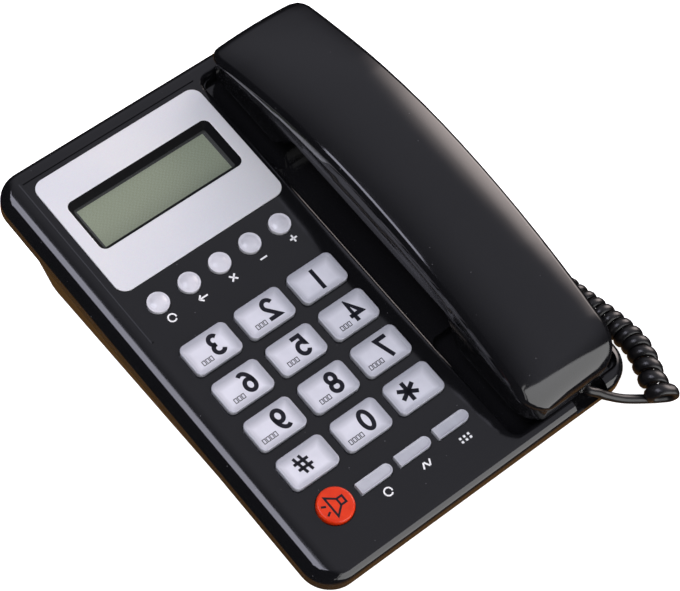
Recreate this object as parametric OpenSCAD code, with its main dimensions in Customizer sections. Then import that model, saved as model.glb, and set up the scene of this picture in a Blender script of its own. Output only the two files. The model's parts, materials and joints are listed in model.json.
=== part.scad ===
// Corded desk telephone: a wedge-shaped base with a display, a keypad and a cradle,
// a handset that lies in the cradle, and the curly cord between them.
// Millimetres. The origin is the middle of the footprint, on the table.
// +X is the handset side, +Y the back, +Z up. Pieces on the sloping top face are
// placed in the face frame: x across, t up the slope, n square out of the face.

/* [Base] */
// Width of the base
base_w = 157; // [150:0.5:162]
// Depth of the base along the table
base_d = 207.5; // [204:0.5:214]
// Slope of the top face, in degrees
slope = 10; // [9:0.5:11]
// Height of the top face above the table at mid depth
face_mid_z = 31.9; // [31:0.1:36]
// Height of the top housing's side lip, square to the face
lip_h = 9; // [9:0.1:10]
// Thickness of the side lip
lip_wall = 3.4; // [3:0.1:3.6]
// Thickness of the top face
deck_t = 2.5; // [2:0.1:2.8]
// Plan radius of the top housing's corners
corner_r = 13; // [10:0.5:16]
// Radius of the top housing's upper edge
edge_r = 4.5; // [3:0.1:5]
// How far the bottom housing stands in from the side lip
housing_inset = 2.5; // [2:0.1:2.9]
// Thickness of the bottom housing's walls and floor
housing_wall = 2.5; // [2:0.1:3]
// Outward lean of the bottom housing's side walls, in degrees
side_draft = 9; // [6:0.5:11]
// Plan radius of the bottom housing's rear corners
rear_r = 20; // [14:1:24]
// Height of the floor's underside above the table
ground_gap = 1.2; // [1:0.1:1.5]

/* [Display] */
// Place of the faceplate's middle across the face
plate_at_x = -24.15; // [-26:0.05:-23]
// Place of the faceplate's middle up the slope
plate_at_t = 65.95; // [65:0.05:67]
// Width of the faceplate left and right of the window
plate_side = 5.85; // [4:0.05:7]
// Length of the faceplate up the slope
plate_long = 59.6; // [56:0.1:61]
// Corner radius of the faceplate
plate_r = 5; // [3:0.1:8]
// Thickness of the faceplate
plate_t_thick = 0.8; // [0.6:0.1:1.2]
// How deep the faceplate is let into the face
plate_sunk = 0.5; // [0.3:0.1:0.5]
// Place of the display window's middle up the slope
window_at_t = 68.35; // [67.5:0.05:69]
// Width of the display window at the face
window_wide = 69.4; // [68:0.1:70]
// Length of the display window at the face, up the slope
window_long = 25.2; // [24:0.1:27]
// Corner radius of the display window
window_r = 3; // [2:0.1:4]
// Run of the window's bevel
window_bevel = 2.4; // [1.5:0.1:3]
// Depth of the display below the face
window_depth = 3.2; // [3:0.1:3.6]
// Thickness of the clear pane
pane_t = 1; // [0.8:0.1:1.2]
// Height of the raised frame line round the display panel
panel_rib_h = 0.6; // [0.3:0.1:0.8]

/* [Keys] */
// Place of the keypad's middle across the face
key_at_x = -25.5; // [-26:0.1:-25]
// Place of the keypad's middle up the slope
key_at_t = -31.65; // [-32.2:0.05:-31.2]
// Spacing of the key columns
key_step_x = 26; // [25.5:0.1:26.3]
// Spacing of the key rows
key_step_t = 19.5; // [19:0.1:19.8]
// Width of a number key
key_wide = 21.3; // [20:0.1:21.8]
// Length of a number key up the slope
key_d = 14; // [13:0.1:14.5]
// Corner radius of a number key
key_r = 2.5; // [1.5:0.1:3]
// Rounding of a key's upper edge
key_edge_r = 1; // [0.5:0.1:1.4]
// How far the keys stand out of the face
key_proud = 2.2; // [1.8:0.1:2.8]
// Travel of the keys
key_travel = 1.5; // [1:0.1:1.8]
// Gap round a key in its hole
key_gap = 0.35; // [0.25:0.05:0.5]
// Width of the flange that holds a key in
flange_w = 1.2; // [1:0.1:1.3]
// Thickness of that flange
flange_t = 1.2; // [1:0.1:1.4]
// Diameter of a key's stem
stem_d = 3.4; // [3:0.1:3.8]
// Place of the menu row's middle across the face
menu_at_x = -25.7; // [-26.1:0.1:-25.3]
// Place of the menu row up the slope
menu_at_t = 25.35; // [24.9:0.05:25.9]
// Spacing of the menu buttons
menu_step = 14.9; // [14.5:0.1:15.2]
// Diameter of a menu button
menu_d = 9; // [8:0.1:9.4]
// Place of the function row's middle across the face
bar_at_x = -16.2; // [-16.5:0.1:-15.7]
// Place of the function row up the slope
bar_at_t = -80.75; // [-81.3:0.05:-80.3]
// Spacing of the function keys
bar_step = 18.9; // [18.6:0.1:19.2]
// Width of a function key
bar_wide = 15.8; // [15:0.1:16]
// Length of a function key up the slope
bar_d = 4.9; // [4.6:0.1:5.2]
// Place of the loudspeaker key across the face
speaker_at_x = -53.9; // [-54.5:0.1:-53.7]
// Place of the loudspeaker key up the slope
speaker_at_t = -80.45; // [-81:0.05:-80.2]
// Diameter of the loudspeaker key
speaker_key_d = 14.8; // [14:0.1:15.2]

/* [Cradle] */
// Depth of the cups that hold the handset's ends
cup_depth = 6.4; // [6:0.1:6.6]
// Depth of the bridge between the cups
bridge_depth = 3.4; // [3:0.1:4]
// Thickness of the cradle's floor
cradle_floor = 2.3; // [2:0.1:2.4]
// Rounding of the cradle's rim
rim_r = 3; // [2:0.1:3]
// Room between the handset's side and the cradle's left wall
cradle_room = 3; // [2.5:0.1:3.5]
// Width of the cord notch in the front rim
notch_w = 16; // [14:0.5:17]
// Depth of the cord notch
notch_depth = 5; // [4.6:0.1:5.5]
// Travel of the hook plunger
hook_travel = 5; // [4:0.1:6]

/* [Handset] */
// Place of the handset's middle across the face
handset_at_x = 47; // [46.7:0.1:47.1]
// Width of the handset
handset_wide = 48; // [46:0.1:48.2]
// Place of the handset's front end up the slope
handset_from_t = -101.35; // [-102:0.05:-101]
// Place of the handset's back end up the slope
handset_to_t = 99.15; // [98.5:0.05:100]
// Height of the handset's highest point over the face
crown_n = 36.5; // [34:0.1:40]
// Place of that highest point up the slope
crown_at_t = 4.65; // [-3:0.05:11]
// Radius of the handset's arch towards the front
arch_front_r = 320; // [300:5:360]
// Radius of the handset's arch towards the back
arch_back_r = 225; // [205:5:250]
// Length of the rounded nose at the front end
nose_r = 16; // [14:0.5:20]
// Length of the rounded edge at the back end
tail_r = 3.5; // [3:0.1:6]
// Plan radius of the front corners
nose_corner_r = 12; // [8:0.5:13]
// Plan radius of the back corners
tail_corner_r = 8.5; // [6:0.1:10]
// Rise of the handset's top from its edges to its middle
crown_rise = 2.5; // [1:0.1:4]
// Bevel along the handset's long edges
crease = 2.6; // [2:0.1:3.4]
// How far the handset's sides draw in from that bevel to the seam
seam_in = 1.6; // [1:0.1:2]
// How far the front shell stands in under the back shell
tuck = 0.6; // [0.4:0.1:0.8]
// Thickness of the handset's shells
shell_t = 2.2; // [1.8:0.1:2.4]
// Height of the hand grip's underside over the face
grip_n = 11; // [10:0.1:13]
// Gap along the seam between the handset's shells
seam_gap = 0.2; // [0.1:0.05:0.3]

/* [Cord] */
// Diameter of the cord
cord_d = 3.8; // [3.4:0.1:4]
// Width of the flattened cord in the curls
cord_w = 5; // [4.4:0.1:5.2]
// Thickness of the flattened cord in the curls
cord_t = 3.2; // [2.8:0.1:3.4]
// Outer diameter of the curls
coil_d = 11.5; // [11:0.1:13]
// Number of curls, ending a quarter turn on
curls = 26; // [22:1:27]
// Spacing of the curls at the handset's end
open_pitch = 6.4; // [6.2:0.1:7.6]
// Spacing of the curls at the base's end
closed_pitch = 5.6; // [5.5:0.1:6]
// Width of a cord plug
plug_w = 7.6; // [7.4:0.1:7.8]
// Height of a cord plug
plug_h = 6.6; // [6.4:0.1:6.8]

/* [Fits] */
// Gap where a piece rests on its seat
seat = 0.3; // [0.25:0.05:0.35]
// Gap between a cord plug and its socket
plug_gap = 0.15; // [0.1:0.05:0.2]
// Diameter of the screws
screw_d = 2.8; // [2.6:0.1:3]
// Diameter of the screw heads
screw_head_d = 5.4; // [5:0.1:5.6]
// Diameter of the screw bosses
boss_d = 7; // [6.6:0.1:7.2]
// Gap round a screw in its hole
screw_gap = 0.05; // [0.05:0.05:0.1]

/* [Hidden] */
$fn = 48;

// Small overlap that makes a cut break cleanly through
cut = 1;

// The layout above is drawn for a base of this size, and spreads or closes up with the base
layout_w = 157;
layout_d = 207.5;
across = base_w / layout_w;
endwise = base_d / layout_d;
window_w = across * window_wide;
window_d = endwise * window_long;
window_t = endwise * window_at_t;
plate_x = across * plate_at_x;
plate_t = endwise * plate_at_t;
plate_w = window_w + 2 * across * plate_side;
plate_d = endwise * plate_long;
key_x = across * key_at_x;
key_t = endwise * key_at_t;
key_pitch_x = across * key_step_x;
key_pitch_t = endwise * key_step_t;
key_w = across * key_wide;
menu_x = across * menu_at_x;
menu_t = endwise * menu_at_t;
menu_pitch = across * menu_step;
bar_x = across * bar_at_x;
bar_t = endwise * bar_at_t;
bar_pitch = across * bar_step;
bar_w = across * bar_wide;
speaker_place = [across * speaker_at_x, endwise * speaker_at_t];
handset_x = across * handset_at_x;
handset_w = across * handset_wide;
handset_front = endwise * handset_from_t;
handset_back = endwise * handset_to_t;
crown_t = endwise * crown_at_t;

// The face: its length up the slope, and the shift that centres the footprint
face_l = base_d / cos(slope);
front_reach = base_d / 2 - edge_r * (cos(slope) + sin(slope) - 1);
back_reach = base_d / 2 + lip_h * sin(slope);
face_y = (front_reach - back_reach) / 2;
// Height of the face over the table at a distance y from the middle
function face_z(y) = face_mid_z + (y - face_y) * tan(slope);
// A point of the face frame, in the part's frame
function on_face_point(p) = [
    p[0],
    face_y + p[1] * cos(slope) - p[2] * sin(slope),
    face_mid_z + p[1] * sin(slope) + p[2] * cos(slope)
];
module on_face() { translate([0, face_y, face_mid_z]) rotate([slope, 0, 0]) children(); }

// Colours as the photograph shows them
gloss_black = "#1b1b1d";
silver = "#cfcbd6";
lavender = "#d3d0dc";
signal_red = "#e03a18";
board_green = "#2f6b3f";
rubber_grey = "#3a3a3c";
steel = "#a9adb2";

// Levels under the face, along n
flange_top = -deck_t - seat;
flange_bottom = flange_top - flange_t;
board_top = -lip_h;
board_t = 1.6;
mat_t = 1;
mat_top = board_top + mat_t;
// A pressed stem stops just over the mat
stem_end = mat_top + key_travel + seat;
collar_h = 1.6;
collar_wall = 1;
collar_gap = 0.5;

// Rows and columns of the keys, in the order that they lie on the face
key_rows = [["3", "2", "1"], ["6", "5", "4"], ["9", "8", "7"], ["hash", "0", "star"]];
function column_x(c) = key_x + (c - 1) * key_pitch_x;
function row_t(r) = key_t + (1.5 - r) * key_pitch_t;
function menu_place(i) = [menu_x + (i - 2) * menu_pitch, menu_t];
function bar_place(i) = [bar_x + (i - 1) * bar_pitch, bar_t];
all_stems = concat(
    [for (r = [0:3], c = [0:2]) [column_x(c), row_t(r)]],
    [for (i = [0:4]) menu_place(i)],
    [for (i = [0:2]) bar_place(i)],
    [speaker_place]
);

// Width between the lip's side walls
inner_w = base_w - 2 * lip_wall;

// The cradle's walls
cradle_left = handset_x - handset_w / 2 - cradle_room;
cradle_right = handset_x + handset_w / 2 + cradle_room;
cradle_front = handset_front + 2.5;
cradle_back = handset_back - 2.5;
handset_mid = (handset_front + handset_back) / 2;
handset_l = handset_back - handset_front;
cup_reach = handset_l / 4;
bridge_half = cup_reach - 4;
cup_r = 4;
// The cups stand in a little from the bridge's walls
ledge = 0.4;
// The rim's rounding runs out of the face at a small angle, and is less on the thin right wall
roll_lift = 0.2;
right_roll = 0.3;
cradle_block_n = -cup_depth - cradle_floor;
block_wall = 2.2;

// The handset's seam, cup and grip levels
cup_n = -cup_depth + seat;
cup_edge_n = 1.6;
cup_inset = 6.2;
grip_edge_n = grip_n + 4;
grip_blend = 12;
seam_end_n = 9;
seam_rise = 11;
// Height over which the sides draw in fully
seam_run = 6;
nose_edge = 0.8;

// Places of the fixings
board_boss_d = 5;
board_left = -base_w / 2 + 7;
board_fixings = [
    [board_left + 5, menu_t + 16.3], [column_x(2) + 3, menu_t + 16.3], [board_left + 5, key_t + 33.3],
    [column_x(2) + 3, key_t + 44.3], [column_x(1) - 15, key_t - 41.7], [column_x(2) + 9, key_t - 41.7]
];
bridge_post_x = handset_x - 4.5;
housing_fixings = [
    [-base_w / 2 + 13.5, -base_d / 2 + 14], [-base_w / 2 + 24, base_d / 2 - 13],
    [bridge_post_x, -30], [bridge_post_x, 26]
];
// Where the posts of the two housings meet
post_gap = 10.6;
function post_z(p) = face_z(p[1]) - post_gap;
// The upper post ends in the face, or in the lower face of the bridge
function post_h(p) = post_gap - seat - deck_t / 2 - (p[0] > cradle_left ? bridge_depth : 0);
screw_head_h = 2;
floor_top = ground_gap + housing_wall;
head_web = 3;
// The front post is too short for a recess, so its head lies in the floor
function head_z(p) = max(ground_gap + 0.3, post_z(p) - head_web - screw_head_h);
screw_bite = 5;

// The handset's own fixings and fittings
handset_fixing_t = [handset_mid - 0.18 * handset_l, handset_mid + 0.18 * handset_l];
handset_head_sunk = 1;
// Where the posts of the handset's two shells meet
function post_n(t) = seam(t) - 2;
weight_size = [24, 0.26 * handset_l, 6];
earpiece_t = handset_back - 0.142 * handset_l;
earpiece_d = 24;
mouthpiece_t = handset_front + 0.17 * handset_l;
mouthpiece_d = 10;
jack_x = handset_x + 7.5;
jack_wall = 1.1;
jack_w = plug_w + 2 * (plug_gap + jack_wall);
jack_l = 13;
jack_front = handset_front + 5.4;
plug_in = 8.5;
plug_tail = 4.4;
// The handset's socket lies just over the cup's floor, clear of its rounded corner
jack_lift = 0.95;
jack_floor_n = cup_n + shell_t + jack_lift;
jack_sill = 0.6;
plug_n = jack_floor_n + jack_sill + plug_gap + plug_h / 2;
jack_h = plug_h + 2 * plug_gap + jack_sill + jack_wall;

// The base's own fittings, which lie this far over their shelves
shelf_gap = 0.1;
foot_d = 14;
foot_sunk = 0.8;
feet = [
    [-base_w / 2 + 24, -base_d / 2 + 25], [base_w / 2 - 24, -base_d / 2 + 25],
    [-base_w / 2 + 26, base_d / 2 - 38], [base_w / 2 - 26, base_d / 2 - 38]
];
speaker_pos = [-22, 30];
speaker_d = 50;
speaker_h = 17;
microphone_pos = [-10, -base_d / 2 + 13];
microphone_d = 8;
line_x = -30;
line_z = 20;
line_size = [14, 16, 12.6];
line_bore = [9.8, 12, 6.8];
cord_socket_y = 60;
cord_socket_z = 22;
plunger = [8, 12];
plunger_pos = [handset_x - 11, handset_mid + 0.31 * handset_l];
plunger_gap = 0.3;

// The bottom housing's outline at the table and at the lip
lip_half = base_w / 2 - housing_inset;
lip_front_t = -face_l / 2 + housing_inset;
lip_back_t = face_l / 2 - housing_inset;
function lean(t) = (on_face_point([0, t, -lip_h])[2] - ground_gap) * tan(side_draft);
foot_front_y = on_face_point([0, lip_front_t, -lip_h])[1] + lean(lip_front_t);
foot_back_y = on_face_point([0, lip_back_t, -lip_h])[1] - lean(lip_back_t);
foot_front_half = lip_half - lean(lip_front_t);
foot_back_half = lip_half - lean(lip_back_t);
// Outside of the right and rear walls at a height z
function rear_y(z) = foot_back_y
    + (on_face_point([0, lip_back_t, -lip_h])[1] - foot_back_y)
    * (z - ground_gap) / (on_face_point([0, lip_back_t, -lip_h])[2] - ground_gap);
function side_x(y, z) = lip_half - (face_z(y) - lip_h / cos(slope) - z) * tan(side_draft);
line_face_y = rear_y(line_z) - 1.2;
cord_face_x = side_x(cord_socket_y, cord_socket_z) - 1;

// Curly cord: its axis leaves the handset's end at a slant, swings out and runs back along the base
coil_r = (coil_d - cord_t) / 2;
coil_from_y = -base_d / 2 - 12;
coil_z = coil_d / 2 + 0.2;
coil_near = base_w / 2 + 2.5;
coil_far = base_w / 2 + 11.7;
coil_wall = base_w / 2 + coil_d / 2 + 1;
swing_out = [-base_d / 2 - 24.25, -base_d / 2 + 23.75];
swing_in = [-base_d / 2 + 27.75, -base_d / 2 + 67.75];
coil_turns = curls + 0.25;
rings_per_curl = 8;
coil_sides = 8;
lead_sides = 8;

function flatten(l) = [for (a = l, b = a) b];
function unit(v) = v / norm(v);

// 2D outlines
module rounded_rect(w, d, r) {
    square([w - 2 * r, d], center = true);
    square([w, d - 2 * r], center = true);
    for (x = [-1, 1], y = [-1, 1]) translate([x * (w / 2 - r), y * (d / 2 - r)]) circle(r);
}

// Profile of a slab's rim, from its corner centre outwards: r wide, h tall, rounded on top
module rim_profile(r, h, e) {
    square([r - e, h]);
    square([r, h - e]);
    translate([r - e, h - e]) circle(e);
}

// Outline of a rounded rectangle as points, grown by g, but by less on its right
function grown_outline(w, l, r, g, n) = [
    for (q = [0:3], a = [0:15:90])
        let (
            x = (q == 0 || q == 3 ? 1 : -1) * (w / 2 - r) + (r + g) * cos(90 * q + a),
            y = (q < 2 ? 1 : -1) * (l / 2 - r) + (r + g) * sin(90 * q + a)
        ) [x > 0 ? x * (w / 2 + g * right_roll) / (w / 2 + g) : x, y, n]
];

// A rounded rectangle's slab whose rim has the child's profile, standing on n = 0
module profiled_slab(w, d, r, h) {
    x0 = w / 2 - r;
    y0 = d / 2 - r;
    translate([-x0, -y0, 0]) cube([2 * x0, 2 * y0, h]);
    for (s = [0, 1]) rotate(180 * s) {
        translate([x0, y0, 0]) rotate([90, 0, 0]) linear_extrude(2 * y0) children();
        translate([-x0, y0, 0]) rotate([90, 0, 90]) linear_extrude(2 * x0) children();
        translate([x0, y0, 0]) rotate_extrude(angle = 90) children();
        translate([x0, -y0, 0]) rotate([0, 0, -90]) rotate_extrude(angle = 90) children();
    }
}

// A slab with a rounded upper edge
module soft_slab(w, d, r, h, e) { profiled_slab(w, d, r, h) rim_profile(r, h, e); }

// Places every screw boss of a list of places
module at_each(places) { for (p = places) translate([p[0], p[1], 0]) children(); }

// Top housing: the sloping face with its lip, the cradle and the holes for what it carries
module top_housing() {
    color(gloss_black) difference() {
        union() {
            on_face() difference() {
                translate([0, 0, -lip_h]) soft_slab(base_w, face_l, corner_r, lip_h, edge_r);
                difference() {
                    translate([0, 0, -lip_h - cut])
                        linear_extrude(lip_h + cut - deck_t)
                            rounded_rect(inner_w, face_l - 2 * lip_wall, corner_r - lip_wall);
                    cradle_block();
                    display_pocket_wall();
                    translate([0, 0, board_top])
                        at_each(board_fixings) cylinder(h = lip_h, d = board_boss_d);
                }
            }
            on_face() panel_rib();
            for (p = housing_fixings)
                translate([p[0], p[1], post_z(p) + seat]) cylinder(h = post_h(p), d = boss_d);
        }
        on_face() {
            cradle_hollow();
            face_holes();
            display_hollow();
            translate([0, 0, board_top - cut])
                at_each(board_fixings) cylinder(h = screw_bite + cut, d = screw_d - 0.8);
        }
        for (p = housing_fixings)
            translate([p[0], p[1], post_z(p) - cut])
                cylinder(h = screw_bite + cut + seat + screw_gap, d = screw_d + 2 * screw_gap);
    }
}

// Solid under the face that the cradle is hollowed out of
module cradle_block() {
    translate([cradle_left - block_wall, -face_l / 2, cradle_block_n])
        cube([base_w / 2 - cradle_left + block_wall, face_l, -cradle_block_n]);
}

// Two cups, the bridge between them, the cord notch and the hook plunger's hole
module cradle_hollow() {
    w = cradle_right - cradle_left;
    l = cradle_back - cradle_front;
    mid_x = (cradle_right + cradle_left) / 2;
    translate([mid_x, (cradle_back + cradle_front) / 2, 0])
        tube(concat(
            [grown_outline(w, l, cup_r, 0, -bridge_depth)],
            [for (a = [0:18:90])
                grown_outline(w, l, cup_r, rim_r * (1 - cos(a)), roll_lift - rim_r * (1 - sin(a)))]
        ));
    for (e = [cradle_front, cradle_back]) {
        inner = handset_mid + sign(e) * bridge_half;
        translate([mid_x, (e + inner) / 2, -cup_depth])
            linear_extrude(cup_depth - bridge_depth + ledge)
                rounded_rect(w - 2 * ledge, abs(e - inner) - 2 * ledge, cup_r);
    }
    translate([jack_x - notch_w / 2 + 0.5, -face_l / 2 - cut, -notch_depth])
        cube([notch_w, cut + face_l / 2 + cradle_front + cup_r, notch_depth + cut]);
    translate([plunger_pos[0], plunger_pos[1], cradle_block_n - cut])
        linear_extrude(cut + cradle_floor + cut)
            square([plunger[0] + 2 * plunger_gap, plunger[1] + 2 * plunger_gap], center = true);
}

// Holes for the keys and buttons
module face_holes() {
    translate([0, 0, -deck_t - cut]) linear_extrude(deck_t + 2 * cut) {
        for (r = [0:3], c = [0:2])
            translate([column_x(c), row_t(r)])
                rounded_rect(key_w + 2 * key_gap, key_d + 2 * key_gap, key_r);
        for (i = [0:4]) translate(menu_place(i)) circle(d = menu_d + 2 * key_gap);
        for (i = [0:2]) translate(bar_place(i)) bar_outline(key_gap);
        translate(speaker_place) circle(d = speaker_key_d + 2 * key_gap);
    }
}

// Walls of the pocket under the face that holds the display
pocket_w = window_w + 1.2;
pocket_d = window_d + 2.4;
pocket_wall = 1.5;
pocket_floor = -window_depth;
display_w = pocket_w + 2 * pocket_wall;
display_d = pocket_d + 2 * pocket_wall;
module display_pocket_wall() {
    translate([plate_x, window_t, board_top + shelf_gap])
        linear_extrude(-board_top - 2 * shelf_gap) square([display_w, display_d], center = true);
}

// Recess for the faceplate, bevelled window through the face, and the pocket behind it
module display_hollow() {
    translate([plate_x, plate_t, -plate_sunk])
        linear_extrude(plate_sunk + cut)
            rounded_rect(plate_w + 2 * seat, plate_d + 2 * seat, plate_r + seat);
    translate([plate_x, window_t, 0]) hull() {
        for (n = [cut, -plate_sunk])
            translate([0, 0, n]) linear_extrude(0.1) rounded_rect(window_w, window_d, window_r, $fn = 24);
        translate([0, 0, pocket_floor - 0.1])
            linear_extrude(0.1)
                rounded_rect(window_w - 2 * window_bevel, window_d - 2 * window_bevel, window_r / 4,
                    $fn = 24);
    }
    translate([plate_x, window_t, board_top - cut])
        linear_extrude(pocket_floor - board_top + cut) square([pocket_w, pocket_d], center = true);
}

// Thin raised line on the face, round the display panel's left, back and front sides
rib_w = 1;
panel_left = plate_x - plate_w / 2 - 3.1;
panel_right = plate_x + plate_w / 2 + 1;
panel_back = plate_t + plate_d / 2 + 3.2;
panel_front = menu_t - menu_d / 2 - 7.6;
module panel_rib() {
    translate([panel_left, panel_front, -deck_t / 2]) {
        cube([rib_w, panel_back - panel_front, deck_t / 2 + panel_rib_h]);
        translate([0, panel_back - panel_front - rib_w, 0])
            cube([panel_right - panel_left, rib_w, deck_t / 2 + panel_rib_h]);
    }
}

// Bottom housing: a tray that leans inwards to the table
module tray_form(inset, floor_z, rise) {
    r_front = corner_r - housing_inset - inset;
    r_rear = rear_r - inset;
    top = rise - lip_h - 0.1;
    hull() {
        on_face() for (x = [-1, 1]) {
            translate([x * (lip_half - inset - r_front), lip_front_t + inset + r_front, top])
                cylinder(h = 0.1, r = r_front, $fn = 32);
            translate([x * (lip_half - inset - r_rear), lip_back_t - inset - r_rear, top])
                cylinder(h = 0.1, r = r_rear, $fn = 32);
        }
        for (x = [-1, 1]) {
            translate([x * (foot_front_half - inset - r_front), foot_front_y + inset + r_front, floor_z])
                cylinder(h = 0.1, r = r_front, $fn = 32);
            translate([x * (foot_back_half - inset - r_rear), foot_back_y - inset - r_rear, floor_z])
                cylinder(h = 0.1, r = r_rear, $fn = 32);
        }
    }
}

module bottom_housing() {
    color(gloss_black) difference() {
        tray_form(0, ground_gap, 0);
        difference() {
            tray_form(housing_wall, floor_top, cut);
            tray_fittings();
        }
        for (p = housing_fixings) {
            translate([p[0], p[1], ground_gap - cut]) {
                cylinder(h = post_z(p) - ground_gap + 2 * cut, d = screw_d + 2 * screw_gap);
                cylinder(h = cut + head_z(p) + screw_head_h - ground_gap,
                    d = screw_head_d + 2 * screw_gap);
            }
        }
        translate([0, 0, ground_gap - cut])
            at_each(feet) cylinder(h = cut + foot_sunk, d = foot_d + 2 * seat);
        sound_slots();
        line_opening();
        cord_opening();
    }
}

// Posts, seats and shelves on the tray's floor
module tray_fittings() {
    for (p = housing_fixings)
        translate([p[0], p[1], ground_gap]) cylinder(h = post_z(p) - ground_gap, d = boss_d);
    translate([speaker_pos[0], speaker_pos[1], ground_gap]) difference() {
        cylinder(h = floor_top - ground_gap + 3, d = speaker_d + 4);
        cylinder(h = 20, d = speaker_d + 2 * seat);
    }
    translate([microphone_pos[0], microphone_pos[1], ground_gap]) difference() {
        cylinder(h = floor_top - ground_gap + 2, d = microphone_d + 3);
        cylinder(h = 20, d = microphone_d + 2 * seat);
    }
    translate([line_x - line_size[0] / 2, line_face_y - line_size[1], ground_gap])
        cube([line_size[0], line_size[1], line_z - line_size[2] / 2 - shelf_gap - ground_gap]);
    translate([cord_face_x - jack_l, cord_socket_y - jack_w / 2, ground_gap])
        cube([jack_l, jack_w, cord_socket_z - jack_h / 2 - shelf_gap - ground_gap]);
    translate([plunger_pos[0] - switch_size[0] / 2, hook_y - switch_size[1] / 2, ground_gap])
        cube([switch_size[0], switch_size[1], switch_z - shelf_gap - ground_gap]);
}

// Slots under the loudspeaker and a hole under the microphone
slot_w = 2.4;
slot_pitch = 5.2;
module sound_slots() {
    translate([speaker_pos[0], speaker_pos[1], ground_gap - cut])
        for (i = [-3:3]) {
            l = 2 * sqrt(pow(speaker_d / 2 - 6, 2) - pow(i * slot_pitch, 2));
            translate([i * slot_pitch - slot_w / 2, -l / 2, 0]) cube([slot_w, l, housing_wall + 2 * cut]);
        }
    translate([microphone_pos[0], microphone_pos[1], ground_gap - cut])
        cylinder(h = housing_wall + 2 * cut, d = 2);
}

module line_opening() {
    translate([line_x, line_face_y, line_z])
        cube([line_size[0] + 2 * seat, 2 * line_size[1], line_size[2] + 2 * seat], center = true);
}

module cord_opening() {
    translate([cord_face_x, cord_socket_y, cord_socket_z])
        cube([2 * jack_l, jack_w + 2 * seat, jack_h + 2 * seat], center = true);
}

// Brushed plate round the display
module faceplate() {
    color(silver) on_face() translate([plate_x, plate_t, -plate_sunk])
        linear_extrude(plate_t_thick) difference() {
            rounded_rect(plate_w, plate_d, plate_r);
            translate([0, window_t - plate_t]) rounded_rect(window_w, window_d, window_r);
        }
}

// Clear pane, display and its circuit board, stacked behind the window
pocket_play = 0.3;
pane_top = pocket_floor - 0.1;
lcd_top = pane_top - pane_t - 0.1;
lcd_t = lcd_top - board_top - 0.1;
module display_pane() {
    color("#dfe6e8", 0.35) on_face() translate([plate_x, window_t, pane_top - pane_t])
        linear_extrude(pane_t)
            square([pocket_w - 2 * pocket_play, pocket_d - 2 * pocket_play], center = true);
}

module lcd_panel() {
    color("#8c9a84") on_face() translate([plate_x, window_t, lcd_top - lcd_t])
        linear_extrude(lcd_t)
            square([pocket_w - 2 * pocket_play, pocket_d - 2 * pocket_play], center = true);
}

module display_board() {
    color(board_green) on_face() translate([plate_x, window_t, board_top - board_t])
        linear_extrude(board_t) square([display_w, display_d], center = true);
}

// Circuit board under the keys, screwed to the face's bosses
board_right = cradle_left - block_wall - 1;
board_front = bar_t - 6.6;
board_back = window_t - pocket_d / 2 - pocket_wall - 1.4;
module main_board() {
    color(board_green) on_face() translate([0, 0, board_top - board_t]) difference() {
        translate([board_left, board_front, 0])
            cube([board_right - board_left, board_back - board_front, board_t]);
        translate([0, 0, -cut]) at_each(board_fixings) cylinder(h = board_t + 2 * cut, d = screw_d);
    }
}

// Rubber mat with a springy collar under every key
mat_margin = 1.2;
mat_right = board_right - mat_margin;
mat_back = board_back - mat_margin;
module keypad_mat() {
    color(rubber_grey) on_face() difference() {
        union() {
            translate([board_left + mat_margin, board_front + mat_margin, board_top])
                cube([mat_right - board_left - mat_margin, mat_back - board_front - mat_margin, mat_t]);
            translate([0, 0, mat_top]) at_each(all_stems)
                difference() {
                    cylinder(h = collar_h, d = stem_d + 2 * (collar_gap + collar_wall));
                    translate([0, 0, -cut]) cylinder(h = collar_h + 2 * cut, d = stem_d + 2 * collar_gap);
                }
        }
        translate([0, 0, board_top - cut])
            at_each(board_fixings) cylinder(h = mat_t + 2 * cut, d = board_boss_d + 2 * seat);
    }
}

// Number key: soft cap, flange under the face, and a stem that meets the mat
module number_key(c, r) {
    color(lavender) on_face() translate([column_x(c), row_t(r), 0]) {
        translate([0, 0, flange_top]) soft_slab(key_w, key_d, key_r, key_proud - flange_top, key_edge_r);
        translate([0, 0, flange_bottom])
            linear_extrude(flange_t) rounded_rect(key_w + 2 * flange_w, key_d + 2 * flange_w, key_r);
        key_stem();
    }
}

module key_stem() {
    translate([0, 0, stem_end]) cylinder(h = flange_bottom - stem_end, d = stem_d);
}

// Round menu button: a ring with a dome inside it
dome_h = 0.9;
ring_w = 0.8;
module menu_button(i) {
    r = menu_d / 2;
    inner = r - ring_w;
    dome_r = (inner * inner + dome_h * dome_h) / (2 * dome_h);
    p = menu_place(i);
    color(silver) on_face() translate([p[0], p[1], 0]) {
        translate([0, 0, flange_bottom]) rotate_extrude() {
            square([r + flange_w, flange_t]);
            translate([0, flange_t]) square([r, key_proud - dome_h - flange_top]);
            translate([0, key_proud - dome_h - flange_bottom]) intersection() {
                translate([0, dome_h - dome_r]) circle(dome_r);
                square([inner, dome_h]);
            }
        }
        key_stem();
    }
}

// Function key's outline: square on the left, round on the right
module bar_outline(grow) {
    r = bar_d / 2;
    translate([-bar_w / 2 - grow, -r - grow]) square([bar_w - r + grow, bar_d + 2 * grow]);
    translate([bar_w / 2 - r, 0]) circle(r + grow);
}

module function_key(i) {
    p = bar_place(i);
    color(lavender) on_face() translate([p[0], p[1], 0]) {
        translate([0, 0, flange_top]) linear_extrude(key_proud - 0.6 - flange_top) bar_outline(0);
        translate([0, 0, flange_bottom]) linear_extrude(flange_t) bar_outline(flange_w - 0.2);
        key_stem();
    }
}

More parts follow.
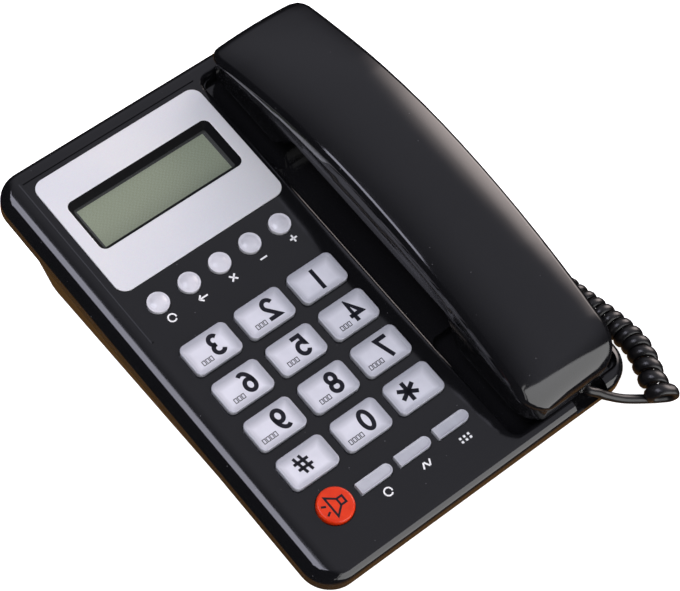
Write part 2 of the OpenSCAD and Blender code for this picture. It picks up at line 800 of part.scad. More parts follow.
// Loudspeaker key: a red disc with a rounded edge
module speaker_key() {
    r = speaker_key_d / 2;
    color(signal_red) on_face() translate([speaker_place[0], speaker_place[1], 0]) {
        translate([0, 0, flange_bottom]) rotate_extrude() {
            square([r + flange_w, flange_t]);
            translate([0, flange_t]) rim_profile(r, key_proud - flange_top, key_edge_r);
        }
        key_stem();
    }
}

// Hook plunger: a block in the rear cup's floor with a stop flange and a foot on the switch
plunger_flange = 1.4;
plunger_flange_t = 1.6;
plunger_foot = 3;
plunger_foot_d = 3;
plunger_top = cup_n - seat;
plunger_stop = cradle_block_n - hook_travel - seat;
module hook_plunger() {
    color(rubber_grey) on_face() translate([plunger_pos[0], plunger_pos[1], 0]) {
        translate([0, 0, plunger_stop])
            linear_extrude(plunger_top - plunger_stop) square(plunger, center = true);
        translate([0, 0, plunger_stop - plunger_flange_t])
            linear_extrude(plunger_flange_t)
                square([plunger[0] + 2 * plunger_flange, plunger[1] + 2 * plunger_flange], center = true);
        translate([0, 0, plunger_end]) cylinder(h = plunger_foot, d = plunger_foot_d);
    }
}

// Hook switch: a small snap switch on a shelf of the bottom housing
switch_size = [20, 8, 10];
plunger_end = plunger_stop - plunger_flange_t - plunger_foot;
hook_foot = on_face_point([plunger_pos[0], plunger_pos[1], plunger_end]);
hook_y = hook_foot[1];
switch_button = 1.6;
// The plunger's foot is tilted with the face, so its lower edge sets the height
switch_z = hook_foot[2] - plunger_foot_d / 2 * sin(slope) - seat - switch_button - switch_size[2];
module hook_switch() {
    color(rubber_grey) translate([plunger_pos[0], hook_y, switch_z]) {
        translate([-switch_size[0] / 2, -switch_size[1] / 2, 0]) cube(switch_size);
        translate([0, 0, switch_size[2]]) cylinder(h = switch_button, d = 4);
    }
}

// Hands-free loudspeaker: basket, cone and magnet turned about one axis
module loudspeaker() {
    r = speaker_d / 2;
    color(rubber_grey) translate([speaker_pos[0], speaker_pos[1], floor_top + shelf_gap]) rotate_extrude()
        polygon([
            [0, 5], [r - 14, 4], [r - 4, 1.2], [r - 4, 0], [r, 0], [r, 2.4], [r - 3, 3],
            [14, 10], [14, speaker_h], [0, speaker_h]
        ]);
}

module handsfree_microphone() {
    color(steel) translate([microphone_pos[0], microphone_pos[1], floor_top + shelf_gap])
        cylinder(h = 5, d = microphone_d);
}

// Line socket at the back, for a cord that isn't part of this object
module line_socket() {
    color(rubber_grey) translate([line_x, line_face_y, line_z]) difference() {
        translate([-line_size[0] / 2, -line_size[1], -line_size[2] / 2]) cube(line_size);
        translate([-line_bore[0] / 2, -line_bore[1], -line_bore[2] / 2])
            cube([line_bore[0], line_bore[1] + cut, line_bore[2]]);
        translate([-2, -line_bore[1], -line_size[2] / 2 + 1.2])
            cube([4, line_bore[1] + cut, line_size[2] / 2]);
    }
}

// Cord socket, open on +y, its floor at z = 0 and its mouth at y = 0
module cord_socket() {
    difference() {
        translate([-jack_w / 2, -jack_l, 0]) cube([jack_w, jack_l, jack_h]);
        translate([-plug_w / 2 - plug_gap, -plug_in - plug_gap, jack_sill])
            cube([plug_w + 2 * plug_gap, plug_in + plug_gap + cut, plug_h + 2 * plug_gap]);
    }
}

// Cord plug on +y, its inserted end at y = -plug_in: body, shoulder and cord sleeve
module cord_plug() {
    translate([-plug_w / 2, -plug_in, -plug_h / 2]) cube([plug_w, plug_in, plug_h]);
    rotate([-90, 0, 0]) cylinder(h = plug_tail, d = cord_d + 1.6);
}

module base_cord_socket() {
    color(rubber_grey) translate([cord_face_x, cord_socket_y, cord_socket_z - jack_h / 2])
        rotate([0, 0, -90]) cord_socket();
}

plug_z = cord_socket_z - jack_h / 2 + jack_sill + plug_gap + plug_h / 2;
module base_plug() {
    color("#d8d8d8", 0.6) translate([cord_face_x, cord_socket_y, plug_z])
        rotate([0, 0, -90]) cord_plug();
}

module rubber_feet() {
    color(rubber_grey) at_each(feet) cylinder(h = ground_gap + foot_sunk - shelf_gap, d = foot_d);
}

// Screws: a pan head and a shank, the head downwards
module screw(d, head_d, head_h, l) {
    cylinder(h = head_h, d = head_d);
    cylinder(h = head_h + l, d = d);
}

module housing_screws() {
    color(steel) for (p = housing_fixings)
        translate([p[0], p[1], head_z(p)])
            screw(screw_d, screw_head_d, screw_head_h, post_z(p) + screw_bite - head_z(p) - screw_head_h);
}

module board_screws() {
    color(steel) on_face() translate([0, 0, board_top - board_t - 1.6 - shelf_gap])
        at_each(board_fixings)
            screw(screw_d - 0.9, screw_head_d - 1, 1.6, board_t + shelf_gap + screw_bite - 0.5);
}

// How far a rounded end of radius r draws in at a distance d from it
function draw_in(d, r) = d >= r ? 0 : r - sqrt(max(0, r * r - (r - d) * (r - d)));
// Share of a rounded end's height at a distance d from it, over a length r
function round_up(d, r) = d >= r ? 1 : sqrt(max(0, 1 - (1 - d / r) * (1 - d / r)));
// Smooth step from 0 at a to 1 at b
function ease(a, b, v) = let (u = min(1, max(0, (v - a) / (b - a)))) u * u * (3 - 2 * u);

// The handset's lengthwise curves at a place t: half widths, top, seam, side edge and underside
function hand_half(t) = handset_w / 2
    - draw_in(t - handset_front, nose_corner_r) - draw_in(handset_back - t, tail_corner_r);
function arch(t) = let (v = t - crown_t) crown_n - v * v / (2 * (v < 0 ? arch_front_r : arch_back_r));
function seam(t) = let (u = (t - handset_mid) / (handset_l / 2)) seam_end_n + seam_rise * (1 - u * u);
function hand_top(t) = let (low = seam(t) + nose_edge)
    low + (arch(t) - low) * round_up(t - handset_front, nose_r) * round_up(handset_back - t, tail_r);
function seam_half(t) = hand_half(t) - seam_in * min(1, (hand_top(t) - seam(t)) / seam_run);
function in_grip(t) = 1 - ease(cup_reach - 4, cup_reach - 4 + grip_blend, abs(t - handset_mid));
function side_edge(t) = cup_edge_n + (grip_edge_n - cup_edge_n) * in_grip(t);
function underside(t) = let (
        end = min(t - handset_front, handset_back - t),
        cup = cup_edge_n - 0.3 - ease(0.8, 5.2, end) * (cup_edge_n - 0.3 - cup_n)
    ) cup + (grip_n - cup) * in_grip(t);

// Places along the handset where its sections are taken, close together where it curves most
end_run = 18;
half_places = concat(
    [for (a = [0:11.25:90]) end_run * (1 - cos(a))],
    [26, 34],
    [for (k = [0:4]) handset_l / 2 - cup_reach + 4 - grip_blend + k * grip_blend / 4],
    [for (k = [1:4]) handset_l / 2 - cup_reach + 4 + k * (cup_reach - 4) / 4]
);
places = concat(
    [for (d = half_places) handset_front + d],
    [for (i = [len(half_places) - 2:-1:0]) handset_back - half_places[i]]
);
function shrunk(t, by) = handset_mid + (t - handset_mid) * (1 - 2 * by / handset_l);

// A section of the back shell: up one side, over the crowned top and down the other
function back_half(w, foot_w, top, foot) = let (
        h = top - foot,
        rise = min(crown_rise, 0.2 * h),
        bevel = min(crease, 0.3 * h)
    ) [
        [foot_w, foot], [(foot_w + w) / 2, foot + (h - rise - bevel) / 2], [w, top - rise - bevel],
        [w - 0.3 * bevel, top - rise - 0.35 * bevel], [w - bevel, top - rise],
        [0.62 * w, top - 0.45 * rise], [0.32 * w, top - 0.12 * rise], [0, top]
    ];
// A section of the front shell: down one side, round the cup and up the other
cup_drop = [0, 0.09, 0.26, 0.58, 0.87, 0.97];
cup_in = [0, 0.24, 0.52, 0.65, 0.76, 1];
function front_half(w, rim, edge, low) = concat(
    [[w, rim]],
    [for (i = [0:5]) [w - cup_in[i] * cup_inset, edge - cup_drop[i] * (edge - low)]],
    [[0, low]]
);
function both_sides(half, t) = concat(
    [for (p = half) [handset_x - p[0], t, p[1]]],
    [for (i = [len(half) - 2:-1:0]) [handset_x + half[i][0], t, half[i][1]]]
);

// Triangles of a grid of rows and columns, and of the closed rim and ends of a lofted shell
function grid(rows, cols, first, out) = [
    for (i = [0:rows - 2], j = [0:cols - 2])
        let (a = first + i * cols + j, b = a + 1, c = a + cols, d = c + 1)
            each (out ? [[a, b, d], [a, d, c]] : [[a, d, b], [a, c, d]])
];
function strip(a, b, c, d) = [[a, b, c], [a, c, d]];
function end_cap(first, cols, out) = [
    for (j = [0:(cols - 3) / 2])
        let (a = first + j, b = a + 1, c = first + cols - 2 - j, d = first + cols - 1 - j)
            each [for (f = c == b ? [[a, b, d]] : strip(a, b, c, d)) out ? f : [f[0], f[2], f[1]]]
];
function turned(faces, flip) = [for (f = faces) flip ? [f[0], f[2], f[1]] : f];

// A thin shell between an outer and an inner skin that meet along the seam
module lofted_shell(outer, inner, flip) {
    rows = len(outer);
    cols = len(outer[0]);
    in0 = rows * cols;
    last = (rows - 1) * cols;
    faces = concat(
        grid(rows, cols, 0, true),
        grid(rows, cols, in0, false),
        end_cap(0, cols, false),
        end_cap(last, cols, true),
        end_cap(in0, cols, true),
        end_cap(in0 + last, cols, false),
        [for (i = [0:rows - 2]) let (a = i * cols, b = a + cols)
            each strip(a, b, in0 + b, in0 + a)],
        [for (i = [0:rows - 2]) let (a = i * cols + cols - 1, b = a + cols)
            each strip(b, a, in0 + a, in0 + b)],
        strip(cols - 1, 0, in0, in0 + cols - 1),
        strip(last, last + cols - 1, in0 + last + cols - 1, in0 + last)
    );
    polyhedron(points = concat(flatten(outer), flatten(inner)), faces = turned(faces, flip));
}

// Opening in the handset's nose where the cord goes in
module nose_opening() {
    translate([jack_x - plug_w / 2 - 0.6, handset_front - cut, plug_n - plug_h / 2 - 0.3])
        cube([plug_w + 1.2, cut + jack_front - handset_front + 0.2, plug_h + 0.6]);
}

module handset_back_shell() {
    outer = [for (t = places) both_sides(back_half(hand_half(t), seam_half(t), hand_top(t), seam(t)), t)];
    inner = [for (v = places) let (t = shrunk(v, shell_t)) both_sides(
        back_half(hand_half(t) - shell_t, seam_half(t) - shell_t, hand_top(t) - shell_t, seam(t)), t
    )];
    color(gloss_black) on_face() difference() {
        union() {
            lofted_shell(outer, inner, true);
            for (t = handset_fixing_t)
                translate([handset_x, t, post_n(t)])
                    cylinder(h = arch(t) - shell_t / 2 - post_n(t), d = boss_d);
        }
        for (t = handset_fixing_t)
            translate([handset_x, t, post_n(t) - cut])
                cylinder(h = screw_bite + 2 * cut, d = screw_d + 2 * screw_gap);
        nose_opening();
    }
}

// Front shell: two cups with sound holes, and the underside of the grip
hole_ring = 6;
module handset_front_shell() {
    outer = [for (v = places) let (t = shrunk(v, tuck))
        both_sides(front_half(seam_half(t) - tuck, seam(t) - seam_gap, side_edge(t), underside(t)), t)];
    inner = [for (v = places)
        let (
            t = shrunk(v, tuck + shell_t),
            w = seam_half(t) - tuck - shell_t,
            edge = side_edge(t) + shell_t / 2
        ) both_sides(front_half(w, seam(t) - seam_gap, edge, underside(t) + shell_t), t)];
    color(gloss_black) on_face() difference() {
        union() {
            lofted_shell(outer, inner, false);
            for (t = handset_fixing_t)
                translate([handset_x, t, grip_n + shell_t / 2])
                    cylinder(h = post_n(t) - seat - grip_n - shell_t / 2, d = boss_d);
        }
        for (t = handset_fixing_t) translate([handset_x, t, grip_n - cut]) {
            cylinder(h = 20, d = screw_d + 2 * screw_gap);
            cylinder(h = cut + handset_head_sunk + screw_head_h, d = screw_head_d + 2 * screw_gap);
        }
        for (a = [0:60:300]) translate([handset_x, earpiece_t, cup_n - cut])
            rotate(a) translate([hole_ring, 0, 0]) cylinder(h = shell_t + 2 * cut, d = 2.4);
        for (x = [-3, 0, 3]) translate([handset_x + x, mouthpiece_t, cup_n - cut])
            cylinder(h = shell_t + 2 * cut, d = 1.8);
        nose_opening();
    }
}

cup_floor = cup_n + shell_t + 2 * seat;
module earpiece() {
    color(rubber_grey) on_face() translate([handset_x, earpiece_t, cup_floor]) rotate_extrude()
        polygon([[0, 0], [earpiece_d / 2 - 1, 0], [earpiece_d / 2, 1], [earpiece_d / 2, 5],
            [earpiece_d / 2 - 5, 8], [0, 8]]);
}

module mouthpiece_microphone() {
    color(steel) on_face() translate([handset_x, mouthpiece_t, cup_floor])
        cylinder(h = 6, d = mouthpiece_d);
}

module handset_weight() {
    low = grip_n + shell_t + shelf_gap;
    color(steel) on_face() translate([handset_x, handset_mid, low + weight_size[2] / 2])
        cube(weight_size, center = true);
}

module handset_screws() {
    color(steel) on_face() for (t = handset_fixing_t)
        translate([handset_x, t, grip_n + handset_head_sunk])
            screw(screw_d, screw_head_d, screw_head_h,
                post_n(t) + screw_bite - grip_n - handset_head_sunk - screw_head_h);
}

module handset_cord_socket() {
    color(rubber_grey) on_face() translate([jack_x, jack_front, jack_floor_n]) rotate(180) cord_socket();
}

module handset_plug() {
    color("#d8d8d8", 0.6) on_face() translate([jack_x, jack_front, plug_n]) rotate(180) cord_plug();
}

// A ring of a tube's points round p, square to direction d: h thick towards up, and w wide
function ring(p, d, up, h, w, sides) = let (
        side = unit(cross(d, up)),
        over = cross(side, d)
    ) [for (k = [0:sides - 1]) p + (h * cos(360 * k / sides) * over + w * sin(360 * k / sides) * side) / 2];

// A closed tube through rings of points
module tube(rings) {
    n = len(rings[0]);
    last = (len(rings) - 1) * n;
    polyhedron(
        points = flatten(rings),
        faces = concat(
            [for (i = [0:len(rings) - 2], k = [0:n - 1])
                let (a = i * n + k, b = i * n + (k + 1) % n)
                    each [[a, a + n, b + n], [a, b + n, b]]],
            [for (k = [1:n - 2]) [0, k, k + 1]],
            [for (k = [1:n - 2]) [last, last + k + 1, last + k]]
        )
    );
}

// A tube along a route's points, square to the given directions at its ends
function along(route, i, start, end) =
    i == 0 ? start : i == len(route) - 1 ? end : unit(route[i + 1] - route[i - 1]);
function route_rings(route, start, end, up) = [
    for (i = [0:len(route) - 1])
        ring(route[i], along(route, i, start, end), up, cord_d, cord_d, lead_sides)
];

// The coil's axis at a length s back from its start, and its direction there
function coil_x(y) = coil_near + (coil_far - coil_near) * ease(swing_out[0], swing_out[1], y)
    - (coil_far - coil_wall) * ease(swing_in[0], swing_in[1], y);
function coil_axis(s) = [coil_x(coil_from_y + s), coil_from_y + s, coil_z];
function coil_heading(s) = unit(coil_axis(s + 1) - coil_axis(s - 1));
// Length along the axis after a number of turns, as the curls close up
function coil_length(turn) = turn * (open_pitch + (closed_pitch - open_pitch) * turn / (2 * coil_turns));
function coil_point(turn) = let (
        s = coil_length(turn), d = coil_heading(s), side = cross(d, [0, 0, 1]), a = 360 * turn - 90
    ) coil_axis(s) + coil_r * (cos(a) * side + sin(a) * [0, 0, 1]);
function coil_spoke(turn) = unit(coil_point(turn) - coil_axis(coil_length(turn)));

coil_steps = coil_turns * rings_per_curl;
coil_first = cross(coil_heading(0), [0, 0, 1]);
coil_last = [0, 0, 1];
coil_in = coil_point(0) - coil_first * cord_d;
coil_out = coil_point(coil_turns) + coil_last * cord_d;
function coil_step(k) = coil_point(k / rings_per_curl);
function coil_step_heading(k) = unit(coil_step(k + 0.5) - coil_step(k - 0.5));

module cord_coil() {
    rings = concat(
        [ring(coil_in, coil_first, coil_spoke(0), cord_d, cord_d, coil_sides)],
        [for (k = [0:coil_steps]) let (turn = k / rings_per_curl)
            ring(coil_step(k), coil_step_heading(k), coil_spoke(turn), cord_t, cord_w, coil_sides)],
        [ring(coil_out, coil_last, coil_spoke(coil_turns), cord_d, cord_d, coil_sides)]
    );
    color(gloss_black) tube(rings);
}

// Least gap between neighbouring curls, measured on points of the cord's middle line
curl_gap = min([
    for (k = [0:coil_steps - rings_per_curl], m = [rings_per_curl - 2:rings_per_curl + 2])
        if (k + m <= coil_steps) norm(coil_step(k + m) - coil_step(k)) - cord_w
]);
echo(curl_gap = curl_gap);

// The leads start at a plug's sleeve and end on the coil
meet = 0.3;
face_front = [0, -cos(slope), -sin(slope)];
plug_end = on_face_point([jack_x, jack_front - plug_tail, plug_n]);
handset_route = [
    plug_end + [0.8, -1.7, -0.8], plug_end + [3.5, -3.2, -2.7], plug_end + [7.1, -6.1, -5.25],
    plug_end + [14, -10.8, -8.95], coil_in + [-3.3, 2.3, 2]
];
module cord_lead_handset() {
    route = concat([plug_end + meet * face_front], handset_route, [coil_in - meet * coil_first]);
    color(gloss_black) tube(route_rings(route, face_front, coil_first, [0, 0, 1]));
}

// The base's lead rises from the coil, a share of the way along to the socket, and turns in to it
function base_lead(share, out, z) = [
    base_w / 2 + out, coil_out[1] + share * (cord_socket_y - coil_out[1]), z
];
base_route = [
    base_lead(0.13, 10.9, 13.4), base_lead(0.34, 10.4, 17.2),
    base_lead(0.63, 8.4, 20.2), base_lead(0.88, 4.6, 21.6)
];
module cord_lead_base() {
    route = concat(
        [coil_out + meet * coil_last],
        base_route,
        [[cord_face_x + plug_tail + meet, cord_socket_y, plug_z]]
    );
    color(gloss_black) tube(route_rings(route, coil_last, [-1, 0, 0], [0, 1, 0]));
}

top_housing();
bottom_housing();
faceplate();
display_pane();
lcd_panel();
display_board();
main_board();
keypad_mat();
for (r = [0:3], c = [0:2]) number_key(c, r);
for (i = [0:4]) menu_button(i);
for (i = [0:2]) function_key(i);
speaker_key();
hook_plunger();
hook_switch();
loudspeaker();
handsfree_microphone();
line_socket();
base_cord_socket();
rubber_feet();
housing_screws();
board_screws();
handset_back_shell();
handset_front_shell();
earpiece();
mouthpiece_microphone();
handset_weight();
handset_screws();
handset_cord_socket();
handset_plug();
base_plug();
cord_lead_handset();
cord_coil();
cord_lead_base();
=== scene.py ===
# %% [markdown]
# # A corded desk telephone
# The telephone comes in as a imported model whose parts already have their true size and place.
# This lesson gives it its looks: glossy black mouldings, pale keys with printed numbers, a grey-green
# display, a curly cord, and the light of a small photo studio. Blender works in metres, so the sizes
# below are written in millimetres and multiplied by MM.

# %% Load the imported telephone
import json
import math

import bmesh
import bpy
from mathutils import Matrix, Vector

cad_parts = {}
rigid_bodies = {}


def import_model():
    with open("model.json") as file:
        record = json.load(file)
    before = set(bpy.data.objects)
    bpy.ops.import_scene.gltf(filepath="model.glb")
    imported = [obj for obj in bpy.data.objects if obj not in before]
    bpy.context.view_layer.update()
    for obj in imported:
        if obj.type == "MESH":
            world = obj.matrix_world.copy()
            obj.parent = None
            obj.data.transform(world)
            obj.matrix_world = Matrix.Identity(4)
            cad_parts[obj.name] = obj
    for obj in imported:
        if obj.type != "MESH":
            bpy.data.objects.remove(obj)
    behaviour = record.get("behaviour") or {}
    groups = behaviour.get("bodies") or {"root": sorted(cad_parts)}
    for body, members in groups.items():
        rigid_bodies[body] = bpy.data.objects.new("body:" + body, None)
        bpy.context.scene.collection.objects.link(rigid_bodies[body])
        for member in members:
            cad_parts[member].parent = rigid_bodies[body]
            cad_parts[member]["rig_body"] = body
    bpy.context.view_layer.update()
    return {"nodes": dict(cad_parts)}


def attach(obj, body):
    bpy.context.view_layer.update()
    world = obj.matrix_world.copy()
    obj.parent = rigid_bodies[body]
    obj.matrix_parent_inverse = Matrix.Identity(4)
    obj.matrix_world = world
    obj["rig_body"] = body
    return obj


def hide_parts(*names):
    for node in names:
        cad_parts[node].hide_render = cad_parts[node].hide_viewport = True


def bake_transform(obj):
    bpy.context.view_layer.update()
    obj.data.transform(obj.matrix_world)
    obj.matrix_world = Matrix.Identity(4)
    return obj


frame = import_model()
nodes = frame["nodes"]
MM = 0.001
print("pieces in the frame:", len(nodes))

# %% [markdown]
# ## The sloping face
# Keys, display and cradle all sit on one face that slopes up to the back. A single matrix takes a
# point in the face's own millimetres, x across, t up the slope and n square out of it, to its place
# in the scene, so that everything on the face can be modelled lying flat. Its inverse takes a place in
# the scene back to the face.

# %% Matrix of the face
SLOPE = math.radians(10)
FACE_MIDDLE = Vector((0, -1.138, 31.9)) * MM
FACE = Matrix.Translation(FACE_MIDDLE) @ Matrix.Rotation(SLOPE, 4, "X") @ Matrix.Scale(MM, 4)
TO_FACE = FACE.inverted()
print("the face slopes by", round(math.degrees(SLOPE)), "degrees")

# %% [markdown]
# ## The camera
# The photograph looks down at the telephone's front left corner through a long lens. The camera is
# placed from the direction that it looks back along, and turned so that its own Z axis is that
# direction. It is made first, because the cord has to lie in its view.

# %% Camera at the photograph's viewpoint
LOOK_BACK = Vector((-0.3744, -0.4506, 0.8105)).normalized()
LOOK_AT = Vector((5.07, -12.2, 26.4)) * MM
CAMERA_DISTANCE = 0.941
camera_data = bpy.data.cameras.new("photo_camera")
camera_data.sensor_width = 36
camera_data.lens = 128.1
camera = bpy.data.objects.new("photo_camera", camera_data)
camera.location = LOOK_AT + CAMERA_DISTANCE * LOOK_BACK
camera.rotation_euler = LOOK_BACK.to_track_quat("Z", "Y").to_euler()
bpy.context.collection.objects.link(camera)
bpy.context.scene.camera = camera
print("camera at", tuple(round(c, 3) for c in camera.location))

# %% [markdown]
# ## Tools for materials
# Colours are written as the hex values that a picture program shows. Blender's shaders need linear
# light, so one function converts them. Another adds a node, sets it up and links it, and a third
# turns the size of a pattern in millimetres into the scale that a texture node wants.

# %% Colour, node and scale helpers
def linear(hex_colour):
    """An sRGB hex colour as linear red, green, blue and alpha."""
    channels = [int(hex_colour[i:i + 2], 16) / 255 for i in (1, 3, 5)]
    return [c / 12.92 if c <= 0.04045 else ((c + 0.055) / 1.055) ** 2.4 for c in channels] + [1]


def add(tree, kind, inputs=None, **settings):
    """A new node with its settings, each input given a value or linked to a socket."""
    made = tree.nodes.new("ShaderNode" + kind)
    for name, value in settings.items():
        setattr(made, name, value)
    for name, value in (inputs or {}).items():
        if isinstance(value, bpy.types.NodeSocket):
            tree.links.new(value, made.inputs[name])
        else:
            made.inputs[name].default_value = value
    return made


def per(size_mm):
    """Texture scale for a pattern whose features are that many millimetres apart."""
    return 1 / (size_mm * MM)


def start_material(name, **sockets):
    """A material with a Principled shader, some of its sockets set, and its Object coordinates."""
    material = bpy.data.materials.new(name)
    material.use_nodes = True
    tree = material.node_tree
    shader = tree.nodes["Principled BSDF"]
    for socket, value in sockets.items():
        shader.inputs[socket.replace("_", " ")].default_value = value
    place = add(tree, "TexCoord").outputs["Object"]
    return material, tree, shader, place


# %% [markdown]
# ## Gloss black ABS
# The housings and the handset are injection-moulded ABS from a polished tool: a deep black with a
# sharp reflection. Polished mouldings still ripple a little, so a very weak bump about 4 mm across
# bends the reflections, the roughness wanders, and a few dust specks lie on the surface.

# %% Material: polished moulded ABS
def polished_abs():
    material, tree, shader, place = start_material("polished_black_abs", IOR=1.53)
    wander = add(tree, "TexNoise", {"Vector": place, "Scale": per(25), "Detail": 3.0})
    tone = add(tree, "ValToRGB", {"Fac": wander.outputs["Fac"]})
    tone.color_ramp.elements[0].color = linear("#0d0d0f")
    tone.color_ramp.elements[1].color = linear("#121214")
    grime = add(tree, "TexNoise", {"Vector": place, "Scale": per(9), "Detail": 5.0})
    rough = add(tree, "MapRange", {"Value": grime.outputs["Fac"], "To Min": 0.06, "To Max": 0.12})
    tree.links.new(rough.outputs["Result"], shader.inputs["Roughness"])
    # Dust: the middles of scattered cells, drawn at 0.3 mm so that a few of them show
    cells = add(tree, "TexVoronoi", {"Vector": place, "Scale": per(6), "Randomness": 1.0})
    speck = add(tree, "MapRange", {
        "Value": cells.outputs["Distance"], "From Min": 0.03, "From Max": 0.05,
        "To Min": 0.2, "To Max": 0.0})
    dusty = add(tree, "Mix", {
        "Factor": speck.outputs["Result"], "A": tone.outputs["Color"], "B": linear("#8d8c90")},
        data_type="RGBA")
    tree.links.new(dusty.outputs["Result"], shader.inputs["Base Color"])
    ripple = add(tree, "TexNoise", {"Vector": place, "Scale": per(4), "Detail": 1.0})
    bump = add(tree, "Bump", {"Height": ripple.outputs["Fac"], "Strength": 0.02, "Distance": 0.1 * MM})
    tree.links.new(bump.outputs["Normal"], shader.inputs["Normal"])
    return material


GLOSS_BLACK = polished_abs()

# %% [markdown]
# ## Black ABS of the bottom housing
# The bottom housing comes from a spark-eroded tool. Its fine grain scatters the light. A warm brown
# reflection of the table it stands on is painted into its colour, strongest at the bottom and fading out
# 40 mm up. The grain is drawn at 0.5 mm.

# %% Material: grained moulded ABS with a painted table reflection
def grained_abs():
    material, tree, shader, place = start_material("grained_black_abs", IOR=1.5, Roughness=0.34)
    # Painted reflection: the base colour is a warm table brown at the bottom and fades to near black 40 mm
    # up.
    height = add(tree, "SeparateXYZ", {"Vector": place}).outputs["Z"]
    low = add(tree, "MapRange", {
        "Value": height, "From Min": 2 * MM, "From Max": 40 * MM, "To Min": 0.0, "To Max": 1.0})
    tone = add(tree, "ValToRGB", {"Fac": low.outputs["Result"]})
    tone.color_ramp.elements[0].color = linear("#2c1d10")
    tone.color_ramp.elements[1].color = linear("#16120e")
    tree.links.new(tone.outputs["Color"], shader.inputs["Base Color"])
    grain = add(tree, "TexNoise", {"Vector": place, "Scale": per(0.5), "Detail": 2.0})
    bump = add(tree, "Bump", {"Height": grain.outputs["Fac"], "Strength": 0.15, "Distance": 0.05 * MM})
    tree.links.new(bump.outputs["Normal"], shader.inputs["Normal"])
    return material


GRAINED_BLACK = grained_abs()

# %% [markdown]
# ## Key plastic
# The keys are moulded in a milky polycarbonate that lets a little light in, so that their edges glow.
# Subsurface scattering of about a millimetre gives that, under a smooth skin. The loudspeaker key and
# the silver buttons are the same moulding in other colours, so one function makes them all.

# %% Material: milky polycarbonate
def key_plastic(name, dark, light, depth_mm, roughness):
    material, tree, shader, place = start_material(
        name, IOR=1.45, Roughness=roughness, Subsurface_Weight=0.2, Subsurface_Scale=depth_mm * MM)
    shader.inputs["Subsurface Radius"].default_value = (1.0, 0.9, 0.9)
    cloud = add(tree, "TexNoise", {"Vector": place, "Scale": per(7), "Detail": 3.0})
    tone = add(tree, "ValToRGB", {"Fac": cloud.outputs["Fac"]})
    tone.color_ramp.elements[0].color = linear(dark)
    tone.color_ramp.elements[0].position = 0.3
    tone.color_ramp.elements[1].color = linear(light)
    tone.color_ramp.elements[1].position = 0.7
    tree.links.new(tone.outputs["Color"], shader.inputs["Base Color"])
    grain = add(tree, "TexNoise", {"Vector": place, "Scale": per(0.6), "Detail": 2.0})
    bump = add(tree, "Bump", {"Height": grain.outputs["Fac"], "Strength": 0.06, "Distance": 0.03 * MM})
    tree.links.new(bump.outputs["Normal"], shader.inputs["Normal"])
    return material


MILKY_KEY = key_plastic("milky_polycarbonate", "#c5c5ce", "#d0d0d9", 1.2, 0.3)
FROSTED_KEY = key_plastic("frosted_polycarbonate", "#a3a4ad", "#b3b4bc", 0.8, 0.25)
SILVER_BUTTON = key_plastic("silvered_polycarbonate", "#b8b8bf", "#cecdd4", 0.8, 0.12)
RED_KEY = key_plastic("red_polycarbonate", "#c42a06", "#d6380c", 1.5, 0.3)

# %% [markdown]
# A number key is a clear cap over a pale pad. Near its border less light comes back, and this is painted
# as shade that darkens the pad there. The shade reaches further in on the key's right side and on the side
# up the slope. The keys lie on a regular grid, so the place on the face, wrapped at the grid's pitch,
# gives the distance to the border of whichever key is shaded, and a ramp over a few millimetres does the
# rest.

# %% Painted shade at the border of the number keys
KEY_X, KEY_T = -25.5, -31.65
KEY_PITCH_X, KEY_PITCH_T = 26, 19.5
KEY_W, KEY_D, KEY_R = 21.3, 14, 2.5
BORDER_SHADE_SHIFT = Vector((0.9, 0.9, 0))
BORDER_SHADE_FROM, BORDER_SHADE_TO = 0.3, 3.6
NO_WRAP = 1000


def paint_border_shade(material, border):
    """Mixes a painted border shade into a key material, by the distance to the nearest side of its key."""
    tree = material.node_tree
    shader = tree.nodes["Principled BSDF"]
    tone = shader.inputs["Base Color"].links[0].from_socket
    middle = Vector((KEY_X, KEY_T + KEY_PITCH_T / 2, 0))
    place = add(tree, "TexCoord").outputs["Object"]
    on_face = add(tree, "Mapping", {
        "Vector": place, "Location": TO_FACE.translation - middle,
        "Rotation": (-SLOPE, 0, 0), "Scale": (1 / MM, 1 / MM, 1 / MM)})
    pitch = Vector((KEY_PITCH_X, KEY_PITCH_T, NO_WRAP)) / 2
    on_key = add(tree, "VectorMath", {
        0: on_face.outputs["Vector"], 1: pitch, 2: -pitch}, operation="WRAP")
    # The painted shade reaches further in along the right side and the side up the slope.
    moved = add(tree, "VectorMath", {0: on_key.outputs["Vector"], 1: BORDER_SHADE_SHIFT}, operation="ADD")
    far = add(tree, "VectorMath", {0: moved.outputs["Vector"]}, operation="ABSOLUTE")
    half = Vector((KEY_W / 2, KEY_D / 2, 0))
    room = add(tree, "VectorMath", {0: half, 1: far.outputs["Vector"]}, operation="SUBTRACT")
    split = add(tree, "SeparateXYZ", {"Vector": room.outputs["Vector"]})
    inside = add(tree, "Math", {0: split.outputs["X"], 1: split.outputs["Y"]}, operation="MINIMUM")
    pale = add(tree, "MapRange", {
        "Value": inside.outputs["Value"], "From Min": BORDER_SHADE_FROM, "From Max": BORDER_SHADE_TO})
    pad = add(tree, "Mix", {
        "Factor": pale.outputs["Result"], "A": linear(border), "B": tone}, data_type="RGBA")
    tree.links.new(pad.outputs["Result"], shader.inputs["Base Color"])


# Painted shade: the pads of the number keys darken to this grey towards their sides.
paint_border_shade(MILKY_KEY, "#9c9da6")

# %% [markdown]
# ## Silver plate
# The plate round the display is thin aluminium with a silver lacquer. The lacquer's flakes are far
# too fine to see, so they are drawn at 0.35 mm, where they give a faint sparkle, and the tone drifts
# from warm to cool along the plate.

